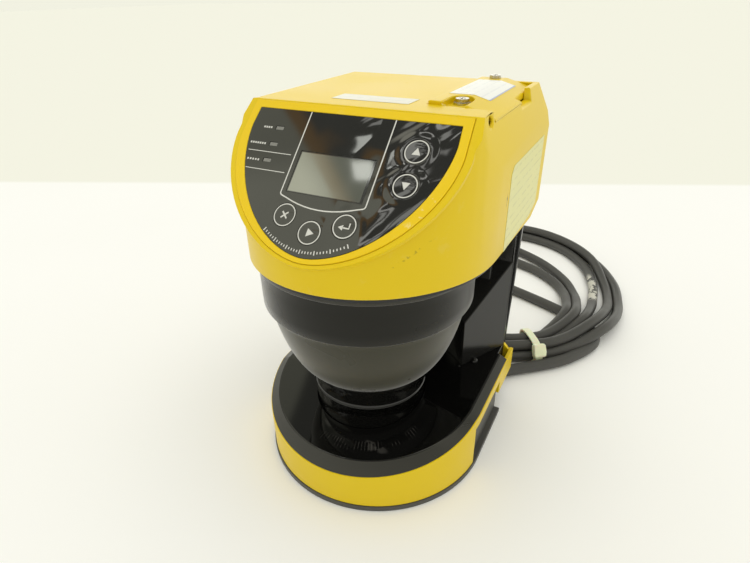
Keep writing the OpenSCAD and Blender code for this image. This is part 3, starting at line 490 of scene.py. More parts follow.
dress("head_shell", pick=shell_edge, dissolve=0.6)
cover = dress("front_cover", pick=lambda p, a, n: 0.3 if a > 0 else 0.0)
dress("top_module", pick=lambda p, a, n: (0.9 if p.z > 168 and n > 6 else 0.4) if a > 0 else 0.0)
dress("base_band", pick=lambda p, a, n: 0.35 if a > 0 else 0.0)
body = dress("base_body", pick=lambda p, a, n: 0.5 if a > 0 else 0.0)
dress("base_plate", width=0.35)
column = dress("column", pick=lambda p, a, n: 0.6 if a > 0 else 0.0)
dress("column_back_cover", width=0.4)
for side in ("left", "right"):
    dress("side_cover_" + side, width=0.3)
dress("head_underside", pick=lambda p, a, n: 0.3 if a > 0 else 0.0)
dress("panel_sheet", pick=lambda p, a, n: 0.05 if a > 0 else 0.0, segments=2)
dress("cable_gland", width=0.4)
labels = [dress(n, width=0.04, segments=1) for n in ("top_label", "module_label", "side_label")]
lenses = dress("status_lenses", width=0.18)
dress("lcd_window", width=0.12)

# ---------- window cup ----------


def lathe(name, profile, sides=160, body="housing", tilt=None):
    """Turns a line of [radius, height] round the scan axis; tilt(p) moves a point up or down."""
    verts, faces = [], []
    for r, z in profile:
        for k in range(sides):
            a = 2 * math.pi * k / sides
            p = Vector((r * math.cos(a), r * math.sin(a), z))
            if tilt:
                p.z = tilt(p)
            verts.append(p * MM)
    for i in range(len(profile) - 1):
        for k in range(sides):
            j = (k + 1) % sides
            faces.append((i * sides + k, i * sides + j, (i + 1) * sides + j, (i + 1) * sides + k))
    return mesh_object(name, verts, faces, body)


def arc(a, b, c, n=14):
    """Points from a, pulled towards b, to c."""
    return [tuple((1 - t) ** 2 * p + 2 * t * (1 - t) * q + t * t * r for p, q, r in zip(a, b, c))
            for t in (i / n for i in range(n + 1))]


CUP_R = 47.2
CREASE_Z = 91.3
CUP_FOOT = 56.2
UNDER_FALL = 0.062
HEAD_FRONT = 50.8


def under_head(p):
    """The collar at the cup's top follows the head's underside, which falls to the rear."""
    if p.z < 105:
        return p.z
    return min(p.z, 113.9) - UNDER_FALL * (p.y + HEAD_FRONT) * (p.z - 105) / 9.0


cup_outer = (arc((32.2, CUP_FOOT + 0.3), (40.4, 65.0), (44.9, CREASE_Z - 0.6))
             + [(45.2, CREASE_Z - 0.25), (46.6, CREASE_Z - 0.2), (47.0, CREASE_Z - 0.05), (CUP_R, CREASE_Z + 0.3),
                (47.25, 96), (47.25, 101), (47.25, 105), (47.25, 109.6), (47.35, 110.1), (48.1, 110.4),
                (48.35, 110.7), (48.5, 113.6), (48.2, 113.9), (46, 113.9)])
cup_inner = [(46, 113.0), (45.4, 109), (45.2, CREASE_Z + 0.6), (43.2, CREASE_Z - 1.2)] + \
    arc((30.2, CUP_FOOT + 1.8), (38.6, 66.4), (43.0, CREASE_Z - 1.6))[::-1] + [(29.2, CUP_FOOT + 1.7),
                                                                              (29.2, CUP_FOOT), (31.6, CUP_FOOT),
                                                                              (32.2, CUP_FOOT + 0.3)]
cup = lathe("window_cup_finished", cup_outer + cup_inner, tilt=under_head)
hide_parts("window_cup")
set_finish(cup, SLOT["window_cup"])
# A small stud and a dot on the deck: name, line of [radius, height], sides, place
DECK_MARKS = (("deck_stud", [(0.0, 35.3), (0.9, 35.1), (1.6, 34.6), (1.95, 33.9), (2.0, 33.1)], 28, (40.8, 41.4)),
              ("deck_dot", [(0.0, 33.8), (0.5, 33.65), (0.8, 33.1)], 20, (35.0, 33.8)))
for name, profile, sides, at in DECK_MARKS:
    o = lathe(name, profile, sides)
    for v in o.data.vertices:
        v.co += Vector((*at, 0)) * MM
    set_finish(o, "gloss_black")

pedestal_hole = 20.1
pedestal = lathe("cup_pedestal_finished", [
    (pedestal_hole, 56.0), (31.2, 56.0), (31.5, 55.8), (31.4, 55.3), (29.2, 51.0), (28.0, 47.5), (27.3, 44.0),
    (27.0, 42.1), (27.3, 41.95), (27.42, 41.7), (27.3, 41.4), (27.0, 41.25), (27.0, 28.0), (27.05, 26.6),
    (27.5, 26.45), (28.0, 26.1), (28.25, 25.6), (28.3, 25.0), (27.0, 24.8), (27.0, 2.9),
    (24.5, 2.9), (24.5, 52.0), (pedestal_hole, 52.0), (pedestal_hole, 56.0)])
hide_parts("cup_pedestal")
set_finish(pedestal, SLOT["cup_pedestal"])

# ---------- prints on the face ----------


def outline_ribbon(points, width, h, closed=False):
    """A flat ribbon of one width along the points of the face."""
    verts, faces = [], []
    n = len(points)
    for i, (x, s) in enumerate(points):
        a = points[(i - 1) % n] if closed or i else points[i]
        b = points[(i + 1) % n] if closed or i < n - 1 else points[i]
        dx, ds = b[0] - a[0], b[1] - a[1]
        size = math.hypot(dx, ds) or 1.0
        nx, ns = -ds / size, dx / size
        verts += [face_point(x + nx * width / 2, s + ns * width / 2, h),
                  face_point(x - nx * width / 2, s - ns * width / 2, h)]
    for i in range(n if closed else n - 1):
        j = (i + 1) % n
        faces.append((2 * i, 2 * i + 1, 2 * j + 1, 2 * j))
    return verts, faces


def joined(parts):
    verts, faces = [], []
    for v, f in parts:
        base = len(verts)
        verts += v
        faces += [tuple(base + k for k in face) for face in f]
    return verts, faces


def flat_shape(points, h):
    return [face_point(x, s, h) for x, s in points], [tuple(range(len(points)))]


def turned(points, angle, at):
    a = math.radians(angle)
    return [(at[0] + x * math.cos(a) - s * math.sin(a), at[1] + x * math.sin(a) + s * math.cos(a))
            for x, s in points]


PRINT_H = FILM_H + 0.04


def bar(x, s, w, t, angle=0.0, h=PRINT_H):
    return flat_shape(turned([(-w / 2, -t / 2), (-w / 2, t / 2), (w / 2, t / 2), (w / 2, -t / 2)], angle, (x, s)), h)


def round_corner(cx, cs, r, a0, a1, n=6):
    return [(cx + r * math.cos(math.radians(a0 + (a1 - a0) * i / n)),
             cs + r * math.sin(math.radians(a0 + (a1 - a0) * i / n))) for i in range(n + 1)]


def display_frame():
    half, top, foot, bow, r = 18.0, 4.2, 39.9, 3.3, 1.3
    left = [(-half, top + 0.2), (-half, 20), (-half, foot - r)] + round_corner(-half + r, foot - r, r, 180, 105)
    right_side = [(-x, s) for x, s in left][::-1]
    sweep = [(x, foot + bow * (1 - (x / (half - r * 1.2)) ** 2)) for x in range(-15, 16, 3)]
    return left + sweep + right_side


prints = [outline_ribbon(display_frame(), 0.48, PRINT_H),
          outline_ribbon([(-40.4, 23.4), (-30, 23.4), (-20, 23.4)], 0.3, PRINT_H),
          outline_ribbon([(-38.3, 31.0), (-29, 31.0), (-19.8, 31.0)], 0.3, PRINT_H)]
# Where the indicators' names stand on the real one: plain short bars
for x0, x1, s in ((-37.5, -33.2, 12.8), (-41.0, -33.2, 20.0), (-39.5, -33.2, 27.2)):
    count = round((x1 - x0) / 1.15)
    for k in range(count):
        prints.append(bar(x0 + (k + 0.5) * (x1 - x0) / count, s, 0.72, 0.8))
# Along the film's foot: a plain curved scale of ticks
for k in range(31):
    t = -1 + 2 * k / 30
    x = -1.0 + 17.6 * t
    s = 59.5 - 5.6 * t * t
    prints.append(bar(x, s, 0.42, 1.6 if k % 5 == 0 else 0.9, math.degrees(math.atan(-11.2 * t / 17.6))))
face_prints = mesh_object("face_prints", *joined(prints), smooth=False)
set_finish(face_prints, "lens_white")

KEYS = {"key_left": (-12.65, 47.2), "key_middle": (0.0, 52.0), "key_right": (12.65, 47.2),
        "key_upper": (29.5, 15.7), "key_lower": (29.5, 28.9)}
RING_R = 4.3
RING_W = 0.42
ARROW = 2.9


def circle(at, r, n=56):
    return [(at[0] + r * math.cos(2 * math.pi * i / n), at[1] + r * math.sin(2 * math.pi * i / n)) for i in range(n)]


def triangle(at, size, turn_by):
    corners = [(size * 0.62, 0), (-size * 0.38, size * 0.55), (-size * 0.38, -size * 0.55)]
    return flat_shape(turned(corners, turn_by, at)[::-1], PRINT_H)


def cross(at):
    return joined([bar(at[0], at[1], 3.6, 0.62, 45), bar(at[0], at[1], 3.6, 0.62, -45, PRINT_H + 0.004)])


def return_arrow(at):
    x, s = at
    stem = outline_ribbon([(x + 1.9, s - 1.5), (x + 1.9, s + 0.55), (x - 0.9, s + 0.55)], 0.55, PRINT_H)
    return joined([stem, triangle((x - 1.2, s + 0.55), 1.9, 180)])


SYMBOLS = {"key_left": cross, "key_right": return_arrow,
           "key_middle": lambda at: triangle((at[0] + 0.1, at[1]), ARROW, 0),
           "key_upper": lambda at: triangle((at[0], at[1] + 0.2), ARROW, -90),
           "key_lower": lambda at: triangle((at[0], at[1] - 0.2), ARROW, 90)}
for key, at in KEYS.items():
    dress(key, pick=lambda p, a, n: 0.06 if a > 0 else 0.0, segments=1, body=key)
    mark = mesh_object(key + "_print", *joined([outline_ribbon(circle(at, RING_R), RING_W, PRINT_H, closed=True),
                                                SYMBOLS[key](at)]), body=key, smooth=False)
    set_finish(mark, "lens_white")

# ---------- screws ----------


def cutter(at, axis, across, size, depth):
    """A slot of the cross recess, as a hidden cutting shape."""
    third = axis.cross(across)
    half = size / 2
    corners = []
    for d, k in ((0.3, 1.0), (-depth, 0.55)):
        for a, b in ((-1, -1), (1, -1), (1, 1), (-1, 1)):
            corners.append((at + axis * d + across * half * a * k + third * 0.42 * b) * MM)
    faces = [(3, 2, 1, 0), (4, 5, 6, 7)] + [(k, (k + 1) % 4, 4 + (k + 1) % 4, 4 + k) for k in range(4)]
    m = bpy.data.meshes.new("cutter")
    m.from_pydata([tuple(c) for c in corners], [], faces)
    bm = bmesh.new()
    bm.from_mesh(m)
    bmesh.ops.recalc_face_normals(bm, faces=bm.faces)
    bm.to_mesh(m)
    bm.free()
    o = bpy.data.objects.new("cutter", m)
    scene.collection.objects.link(o)
    return o


def cross_recess(o, heads, axis, size=3.0, depth=0.9):
    """Cuts a cross recess into each screw head, and keeps the cut mesh."""
    across = Vector((1, 0, 0)) if abs(axis.x) < 0.5 else Vector((0, 1, 0))
    cutters = []
    for at in heads:
        for d in (across, axis.cross(across)):
            c = cutter(Vector(at), axis, d, size, depth)
            cutters.append(c)
            b = o.modifiers.new("recess", "BOOLEAN")
            b.operation = "DIFFERENCE"
            b.object = c
            b.solver = "EXACT"
    bpy.context.view_layer.update()
    cut = bpy.data.meshes.new_from_object(o.evaluated_get(bpy.context.evaluated_depsgraph_get()))
    o.modifiers.clear()
    o.data = cut
    for c in cutters:
        bpy.data.objects.remove(c)
    for p in cut.polygons:
        p.use_smooth = False
    bevel(o, 0.00025, 2, 40)


for node, heads, axis in (
        ("module_screws", [(32.5, 19.0, 172.21), (30.0, 71.0, 173.81)], Vector((0, 0, 1))),
        ("back_cover_screws", [(x, 68.3, z) for x in (-46, 46) for z in (37.8, 98.0)], Vector((0, 1, 0))),
        ("base_plate_screws", [(x, y, 0.2) for x in (-38, 38) for y in (-14, 36)], Vector((0, 0, -1)))):
    bm = bmesh.new()
    bm.from_mesh(NODES[node].data)
    bmesh.ops.remove_doubles(bm, verts=bm.verts, dist=0.00001)
    bmesh.ops.dissolve_limit(bm, angle_limit=math.radians(1), verts=bm.verts, edges=bm.edges)
    bmesh.ops.recalc_face_normals(bm, faces=bm.faces)
    m = bpy.data.meshes.new(node + "_finished")
    bm.to_mesh(m)
    bm.free()
    o = add_object(m.name, m)
    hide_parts(node)
    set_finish(o, SLOT[node])
    cross_recess(o, heads, axis)

# ---------- materials ----------

# y + z of the face where it meets the top, in metres
FACE_SUM = 0.1656
# The deck: level at the rear, falling to the front
DECK_Z = 0.0332
DECK_FALL = 0.1514


def yellow_plastic(name, low, high, rough=0.34):
    n = Nodes(name, rough=rough, ior=1.45, Specular_IOR_Level=0.34)
    soft = n.noise(14, 3)
    fine = n.noise(420, 3)
    rub = n.ramp(n.noise(95, 5, 0.7), 0.60, 0.74)
    color = n.mix(n.ramp(soft, 0.3, 0.7), low, high)
    color = n.mix(n.math("MULTIPLY", rub, 0.10), color, (0.86, 0.74, 0.30))
    n.set("Base Color", color)
    n.set("Roughness", n.math("ADD", n.ramp(soft, 0.2, 0.8, rough - 0.04, rough + 0.05),
                              n.math("MULTIPLY", rub, 0.10)))
    n.bump(n.math("ADD", n.math("MULTIPLY", fine, 0.4), n.noise(1500, 2)), 0.06, 0.0002)
    return n


def shell_yellow():
    n = yellow_plastic("shell_yellow", (0.79, 0.560, 0.002), (0.82, 0.595, 0.004))
    base = n.bsdf.inputs["Base Color"].links[0].from_socket
    # A few short scrapes low on the right of the front, and a dark nick by the side label
    scrape = n.spot((0.0362, -0.035, 0.1302), (0.0090, 0.020, 0.0007), (0, math.radians(-39), 0), 0.5)
    broken = n.ramp(n.noise(900, 3, at=n.stretch(n.coord.outputs["Object"], (0.35, 1, 1))), 0.52, 0.60)
    color = n.mix(n.math("MULTIPLY", n.math("MULTIPLY", scrape, broken), 0.45), base, (0.25, 0.17, 0.01))
    nick = n.spot((0.0539, 0.019, 0.1345), (0.003, 0.0009, 0.0035), (0, 0, 0), 0.6)
    color = n.mix(n.math("MULTIPLY", nick, n.ramp(n.noise(700, 3), 0.40, 0.55, 0.2, 0.9)), color, (0.10, 0.06, 0.01))
    n.set("Base Color", color)
    return n.mat


def cover_yellow():
    n = yellow_plastic("cover_yellow", (0.86, 0.590, 0.004), (0.89, 0.620, 0.008), 0.30)
    base = n.bsdf.inputs["Base Color"].links[0].from_socket
    edge = n.spot((0.038, -0.030, 0.147), (0.006, 0.030, 0.030), (math.radians(-45), 0, 0), 0.6)
    scuffs = n.ramp(n.noise(520, 4, 0.65), 0.56, 0.66)
    n.set("Base Color", n.mix(n.math("MULTIPLY", n.math("MULTIPLY", edge, scuffs), 0.5), base, (0.93, 0.83, 0.45)))
    return n.mat


def black_plastic(name, level, rough, ior=1.5, grain=0.05, scratch=0.0, dust=0.0):
    n = Nodes(name, rough=rough, ior=ior)
    soft = n.noise(40, 4)
    color = n.mix(soft, (level * 0.8, level * 0.8, level * 0.75), (level * 1.2, level * 1.18, level * 1.05))
    if dust:
        specks = n.ramp(n.noise(1300, 2, 0.6), 0.70, 0.76)
        color = n.mix(n.math("MULTIPLY", specks, dust), color, (0.30, 0.29, 0.25))
    n.set("Base Color", color)
    r = n.ramp(soft, 0.3, 0.7, rough * 0.85, rough * 1.2)
    if scratch:
        along = n.stretch(n.coord.outputs["Object"], (0.08, 1.4, 1), (0, 0, 0.7))
        lines = n.ramp(n.noise(240, 3, at=along), 0.60, 0.68)
        r = n.math("ADD", r, n.math("MULTIPLY", lines, scratch))
    n.set("Roughness", r)
    n.bump(n.noise(900, 2), grain, 0.0002)
    return n


def deck_black():
    n = black_plastic("deck_black", 0.0035, 0.05, 1.5, 0.01, 0.06, 0.06)
    base = n.bsdf.inputs["Base Color"].links[0].from_socket
    x, y, z = n.xyz()
    reach = n.math("SQRT", n.math("ADD", n.math("MULTIPLY", x, x), n.math("MULTIPLY", y, y)))
    angle = n.math("ARCTAN2", y, x)
    # Fine dusty marks left round the pedestal's front, as a broken fan of radial strokes
    ring = n.math("MULTIPLY", n.ramp(reach, 0.0335, 0.0350), n.ramp(reach, 0.0398, 0.0382))
    front = n.math("MULTIPLY", n.ramp(angle, -1.85, -1.65), n.ramp(angle, -0.36, -0.50))
    strokes = n.ramp(n.math("SINE", n.math("MULTIPLY", angle, 150.0)), 0.35, 0.9)
    broken = n.ramp(n.noise(120, 3, 0.6), 0.42, 0.62)
    marks = n.math("MULTIPLY", n.math("MULTIPLY", ring, front), n.math("MULTIPLY", strokes, broken))
    smear = n.math("MULTIPLY", n.spot((0.0175, -0.0325, 0.0283), (0.009, 0.0028, 0.004)),
                   n.ramp(n.noise(260, 3), 0.45, 0.6))
    amount = n.math("ADD", n.math("MULTIPLY", marks, 0.075), n.math("MULTIPLY", smear, 0.07), clamp=True)
    color = n.mix(amount, base, (0.45, 0.43, 0.38))
    # The sloped rim and the sides are satin, under the glossy deck
    deck = n.math("MINIMUM", DECK_Z, n.math("ADD", DECK_Z, n.math("MULTIPLY", y, DECK_FALL)))
    lower = n.ramp(n.math("SUBTRACT", deck, z), 0.0001, 0.0004)
    n.set("Base Color", n.mix(lower, color, (0.034, 0.033, 0.026)))
    n.set("Roughness", n.math("ADD", 0.05, n.math("MULTIPLY", lower, 0.30)))
    return n.mat


def smoked_window():
    n = Nodes("smoked_window", rough=0.3, ior=1.5, Specular_IOR_Level=0.24, Sheen_Weight=0.55, Sheen_Roughness=0.30)
    x, y, z = n.xyz()
    soft = n.noise(30, 3)
    band_tone = n.mix(soft, (0.0070, 0.0066, 0.0040), (0.0095, 0.0090, 0.0055))
    # Painted reflection: the bowl under the crease gets a paler base colour than the band above it, standing in for
    # the bright floor it reflects
    bowl_tone_painted_reflection = n.mix(soft, (0.038, 0.036, 0.022), (0.046, 0.044, 0.028))
    ring_tone = (0.040, 0.038, 0.030)
    color = n.mix(n.ramp(z, 0.0910, 0.0914, smooth=False), bowl_tone_painted_reflection, band_tone)
    color = n.mix(n.ramp(n.math("ADD", z, n.math("MULTIPLY", y, 0.062)), 0.1068, 0.1075), color, ring_tone)
    n.set("Base Color", color)
    n.set("Roughness", n.ramp(soft, 0.3, 0.7, 0.26, 0.34))
    n.bump(n.noise(60, 2), 0.02, 0.0005)
    return n.mat


def film_nodes(name):
    """The gloss film over the display face, drawn tight on the left and rippled round the keys on the right."""
    n = Nodes(name, rough=0.045, ior=1.72)
    x = n.xyz()[0]
    down = n.down_face()
    soft = n.noise(60, 3)
    n.set("Base Color", n.mix(soft, (0.0045, 0.0045, 0.0042), (0.0065, 0.0065, 0.006)))
    flat = n.tree.nodes.new("ShaderNodeCombineXYZ")
    n.link(x, flat.inputs[0])
    n.link(down, flat.inputs[1])
    plane = flat.outputs[0]
    slanted = n.tree.nodes.new("ShaderNodeCombineXYZ")
    n.link(n.math("SUBTRACT", x, down), slanted.inputs[0])
    n.link(n.math("ADD", x, down), slanted.inputs[1])
    right_half = n.ramp(x, 0.006, 0.024)
    upper = n.math("MULTIPLY", n.ramp(down, 0.020, 0.006), n.ramp(x, -0.012, 0.004))
    loose = n.math("MAXIMUM", right_half, n.math("MULTIPLY", upper, 0.3))
    long_folds = n.noise(1.0, 0.5, 0.3, at=n.stretch(slanted.outputs[0], (24, 78, 1)), distort=0.35)
    broad = n.noise(1.0, 0.0, 0.3, at=n.stretch(plane, (50, 60, 1), (0, 0, -0.3)), distort=0.2)
    waves = n.math("ADD", n.math("MULTIPLY", long_folds, 1.0), n.math("MULTIPLY", broad, 0.6))
    waves = n.math("MULTIPLY", waves, loose)
    rings = 0.0
    for kx, ks in KEYS.values():
        gap = n.vec("DISTANCE", plane, (kx * MM, ks * MM, 0))
        near = n.ramp(gap, 0.0085, 0.0052)
        dip = n.ramp(gap, 0.0040, 0.0052)
        ridge = n.math("MULTIPLY", near, dip)
        rings = n.math("ADD", rings, n.math("MULTIPLY", ridge, 0.16 if kx > 20 else 0.05))
    # Fine creases on the right-hand side inside each ring
    creases = 0.0
    for kx, ks in KEYS.values():
        gap = n.vec("DISTANCE", plane, ((kx + 1.6) * MM, (ks - 1.6) * MM, 0))
        inside = n.ramp(gap, 0.0036, 0.0020)
        creases = n.math("ADD", creases, inside)
    hatch = n.noise(1.0, 1, 0.3, at=n.stretch(plane, (300, 1700, 1), (0, 0, 0.9)))
    fine = n.math("MULTIPLY", n.math("MULTIPLY", hatch, creases), 0.05)
    height = n.math("ADD", n.math("ADD", waves, rings), fine)
    n.bump(height, 1.0, 0.0011)
    n.set("Roughness", n.ramp(soft, 0.3, 0.7, 0.035, 0.06))
    return n.mat


def lcd_glass():
    n = Nodes("lcd_glass", rough=0.06, ior=1.9)
    x = n.xyz()[0]
    soft = n.noise(70, 2)
    down = n.down_face()
    # Painted reflection: the base colour is paler towards the lower left, standing in for a bright window reflected
    # in the glass
    across = n.ramp(n.math("ADD", x, n.math("MULTIPLY", down, -0.85)), -0.0400, -0.0160)
    grey = n.mix(across, (0.300, 0.310, 0.245), (0.088, 0.095, 0.075))
    # The liquid crystal's field, with its narrow dark border
    inside = n.math("MULTIPLY", n.math("MULTIPLY", n.ramp(x, -0.01555, -0.01545), n.ramp(x, 0.01505, 0.01495)),
                    n.math("MULTIPLY", n.ramp(down, 0.02145, 0.02155), n.ramp(down, 0.03765, 0.03755)))
    cells = n.math("MULTIPLY", n.ramp(n.math("PINGPONG", x, 0.0003), 0.00002, 0.00005),
                   n.ramp(n.math("PINGPONG", down, 0.0003), 0.00002, 0.00005))
    grey = n.mix(n.math("MULTIPLY", n.math("SUBTRACT", 1.0, cells), 0.06), grey, (0.08, 0.085, 0.07))
    n.set("Base Color", n.mix(inside, (0.02, 0.02, 0.018), grey))
    n.set("Roughness", n.ramp(soft, 0.3, 0.7, 0.05, 0.09))
    n.bump(soft, 0.01, 0.0005)
    return n.mat


def paper(name, low, high, rough=0.42, rules=None, edge=None):
    """A printed label, with faint plain rules where the real one has words."""
    n = Nodes(name, rough=rough, ior=1.45)
    soft = n.noise(50, 3)
    color = n.mix(n.ramp(soft, 0.3, 0.7), low, high)
    if rules:
        axis, pitch, amount, tint = rules
        parts = n.xyz()
        line = n.ramp(n.math("PINGPONG", parts[axis], pitch / 2), pitch * 0.36, pitch * 0.42)
        words = n.ramp(n.noise(1.0, 2, 0.6, at=n.stretch(n.coord.outputs["Object"], (260, 260, 260))), 0.42, 0.52)
        color = n.mix(n.math("MULTIPLY", n.math("MULTIPLY", line, words), amount), color, tint)
    if edge:
        axis, at, width, tint = edge
        color = n.mix(n.ramp(n.xyz()[axis], at, at + width), color, tint)
    n.set("Base Color", color)
    n.set("Roughness", n.ramp(soft, 0.3, 0.7, rough * 0.85, rough * 1.15))
    n.bump(n.noise(700, 2), 0.03, 0.0002)
    return n.mat


def metal(name, tint, rough):
    n = Nodes(name, rough=rough, color=tint, Metallic=1.0)
    soft = n.noise(300, 4)
    n.set("Base Color", n.mix(soft, tuple(c * 0.85 for c in tint), tint))
    n.set("Roughness", n.ramp(n.noise(900, 3), 0.3, 0.7, rough * 0.8, rough * 1.4))
    n.bump(n.noise(1200, 3), 0.04, 0.0002)
    return n.mat


def cable_jacket():
    n = black_plastic("cable_jacket", 0.070, 0.48, 1.48, 0.05, 0.0, 0.0)
    base = n.bsdf.inputs["Base Color"].links[0].from_socket
    where = n.spot((0.0825, 0.2010, 0.0070), (0.0065, 0.0260, 0.0060), (0, 0, math.radians(14)), 0.30)
    flecks = n.ramp(n.noise(230, 4, 0.6), 0.44, 0.50)
    n.set("Base Color", n.mix(n.math("MULTIPLY", where, flecks), base, (0.58, 0.57, 0.48)))
    return n.mat


def nylon():
    n = Nodes("tie_nylon", rough=0.32, color=(0.70, 0.72, 0.48), ior=1.53)
    n.set("Base Color", n.mix(n.noise(90, 3), (0.84, 0.87, 0.58), (0.90, 0.92, 0.68)))
    n.set("Subsurface Weight", 0.25)
    n.set("Subsurface Scale", 0.002)
    n.bump(n.noise(800, 2), 0.05, 0.0002)
    return n.mat


def board_green():
    n = Nodes("circuit_board", rough=0.35, ior=1.5)
    x, y, z = n.xyz()
    tracks = n.ramp(n.noise(160, 2, 0.3), 0.50, 0.52)
    n.set("Base Color", n.mix(tracks, (0.012, 0.075, 0.030), (0.020, 0.12, 0.05)))
    n.bump(tracks, 0.10, 0.0002)
    return n.mat


MATERIALS = {
    "yellow_housing": shell_yellow(),
    "gloss_black": black_plastic("gloss_black", 0.0045, 0.07, 1.5, 0.02, 0.05, 0.04).mat,
    "panel_black": film_nodes("face_film"),
    "satin_black": black_plastic("satin_black", 0.075, 0.45, 1.45, 0.10, 0.0, 0.05).mat,
    "smoked_window": smoked_window(),
    "steel": metal("steel", (0.62, 0.60, 0.54), 0.24),
    "screen_glass": lcd_glass(),
    "lcd_case": paper("lcd_case", (0.55, 0.56, 0.53), (0.60, 0.61, 0.58)),
    "lens_white": paper("print_white", (0.66, 0.66, 0.60), (0.72, 0.72, 0.66), 0.35),
    "dark_part": black_plastic("dark_part", 0.02, 0.5).mat,
    "circuit_board": board_green(),
    "label_white": paper("label_white", (0.80, 0.79, 0.66), (0.86, 0.85, 0.73), 0.4,
                         (1, 0.0042, 0.16, (0.30, 0.32, 0.40))),
    "label_green": paper("label_green", (0.74, 0.72, 0.27), (0.79, 0.76, 0.33), 0.36,
                         (2, 0.0042, 0.26, (0.42, 0.40, 0.15))),
    "brass_part": metal("brass_part", (0.78, 0.57, 0.22), 0.25),
    "lens_glass": black_plastic("lens_glass", 0.25, 0.05, 1.6).mat,
    "motor_grey": metal("motor_grey", (0.35, 0.36, 0.37), 0.40),
    "mirror_coat": metal("mirror_coat", (0.90, 0.90, 0.88), 0.04),
    "disc_metal": metal("disc_metal", (0.55, 0.56, 0.56), 0.20),
    "ribbon_grey": paper("ribbon_grey", (0.50, 0.50, 0.49), (0.56, 0.56, 0.55)),
    "cable_jacket": cable_jacket(),
    "tie_nylon": nylon(),
}
ON_PIECE = {
    cover: cover_yellow(),
    body: deck_black(),
    column: black_plastic("column_black", 0.014, 0.20, 1.5, 0.03, 0.0, 0.04).mat,
    lenses: paper("status_lens", (0.20, 0.20, 0.18), (0.26, 0.26, 0.23), 0.25),
    labels[1]: paper("module_label_paper", (0.86, 0.87, 0.80), (0.90, 0.91, 0.86), 0.38,
                     (0, 0.0036, 0.14, (0.35, 0.38, 0.45)), (0, 0.0407, 0.0005, (0.40, 0.45, 0.66))),
}


def paint(o, mat):
    if not o.material_slots:
        o.data.materials.append(mat)
        return
    for s in o.material_slots:
        s.material = mat


for name, o in NODES.items():
    paint(o, MATERIALS[SLOT[name]])
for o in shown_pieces():
    if o.name in NODES:
        continue
    paint(o, ON_PIECE.get(o) or MATERIALS[o["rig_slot"]])

# ---------- floor, world and lights ----------

floor = mesh_object("floor", [(-9, -9, -0.0001), (9, -9, -0.0001), (9, 9, -0.0001), (-9, 9, -0.0001)], [(0, 1, 2, 3)],
                    body=None, smooth=False)
n = Nodes("floor", rough=0.9)
n.set("Specular IOR Level", 0.0)
x, y, z = n.xyz()
cloud = n.noise(7, 3)
near_tone = n.mix(cloud, (0.955, 0.960, 0.915), (0.975, 0.980, 0.940))
# The far part of the floor is a little darker, past a soft straight fold
fold = n.math("ADD", n.math("MULTIPLY", x, -0.41), n.math("MULTIPLY", y, 0.912))
n.set("Base Color", n.mix(n.ramp(fold, 0.405, 0.418), near_tone, (0.885, 0.890, 0.790)))
n.bump(n.noise(700, 3), 0.01, 0.0003)
paint(floor, n.mat)

world = bpy.data.worlds.new("world")
scene.world = world
world.use_nodes = True
wt = world.node_tree
wt.nodes.clear()


def wnode(kind):
    return wt.nodes.new(kind)


def wput(s, v):
    if isinstance(v, bpy.types.NodeSocket):
        wt.links.new(v, s)
    else:
        s.default_value = v


def wramp(v, a, b, lo=0.0, hi=1.0):
    m = wnode("ShaderNodeMapRange")
    m.interpolation_type = "SMOOTHSTEP"
    for s, x in zip(("From Min", "From Max", "To Min", "To Max"), (a, b, lo, hi)):
        m.inputs[s].default_value = x
    wt.links.new(v, m.inputs["Value"])
    return m.outputs[0]


def wmath(op, a, b=0.0):
    m = wnode("ShaderNodeMath")
    m.operation = op
    wput(m.inputs[0], a)
    wput(m.inputs[1], b)
    return m.outputs[0]


def wmix(f, a, b):
    m = wnode("ShaderNodeMix")
    m.data_type = "RGBA"
    wput(m.inputs[0], f)
    for s, v in ((m.inputs[6], a), (m.inputs[7], b)):
        wput(s, v if isinstance(v, bpy.types.NodeSocket) else (*v, 1.0))
    return m.outputs[2]


coord = wnode("ShaderNodeTexCoord")
sep = wnode("ShaderNodeSeparateXYZ")
wt.links.new(coord.outputs["Generated"], sep.inputs[0])
X, Y, Z = sep.outputs
# The room as gloss surfaces see it: pale round the horizon, dark overhead, a big window box on the left
room = wmix(wramp(Z, 0.30, 0.52), (0.86, 0.85, 0.74), (0.30, 0.30, 0.255))
slant = wmath("ADD", X, wmath("MULTIPLY", Y, 0.5526))
front_box = wmath("MULTIPLY", wramp(slant, -0.695, -0.705), wramp(Y, -0.05, -0.12))
rear_box = wmath("MULTIPLY", wramp(X, -0.47, -0.485), wramp(Y, -0.12, -0.05))
box_fade = wmath("MULTIPLY", wramp(Z, 0.42, 0.60), wramp(Z, 0.93, 0.86, 0.4, 1.0))
window_box = wmath("MULTIPLY", wmath("MAXIMUM", front_box, rear_box), box_fade)
brown_edge = wmath("MULTIPLY", wmath("MULTIPLY", wramp(slant, -0.665, -0.685), wramp(Y, -0.12, -0.2)),
                   wramp(Z, 0.5, 0.65))
room = wmix(brown_edge, room, (0.75, 0.48, 0.22))
room = wmix(window_box, room, wmix(wramp(Y, -0.24, -0.32), (0.84, 0.84, 0.66), (1.25, 1.25, 1.0)))
lamp_x = wramp(wmath("ABSOLUTE", wmath("ADD", wmath("ADD", X, wmath("MULTIPLY", Y, 0.3)), 0.555)), 0.019, 0.016)
lamp_y = wramp(wmath("ABSOLUTE", wmath("ADD", Y, 0.297)), 0.019, 0.016)
lamp = wmath("MULTIPLY", wmath("MULTIPLY", lamp_x, lamp_y), wramp(Z, 0.5, 0.7))
room = wmix(lamp, room, (4.6, 4.7, 4.3))
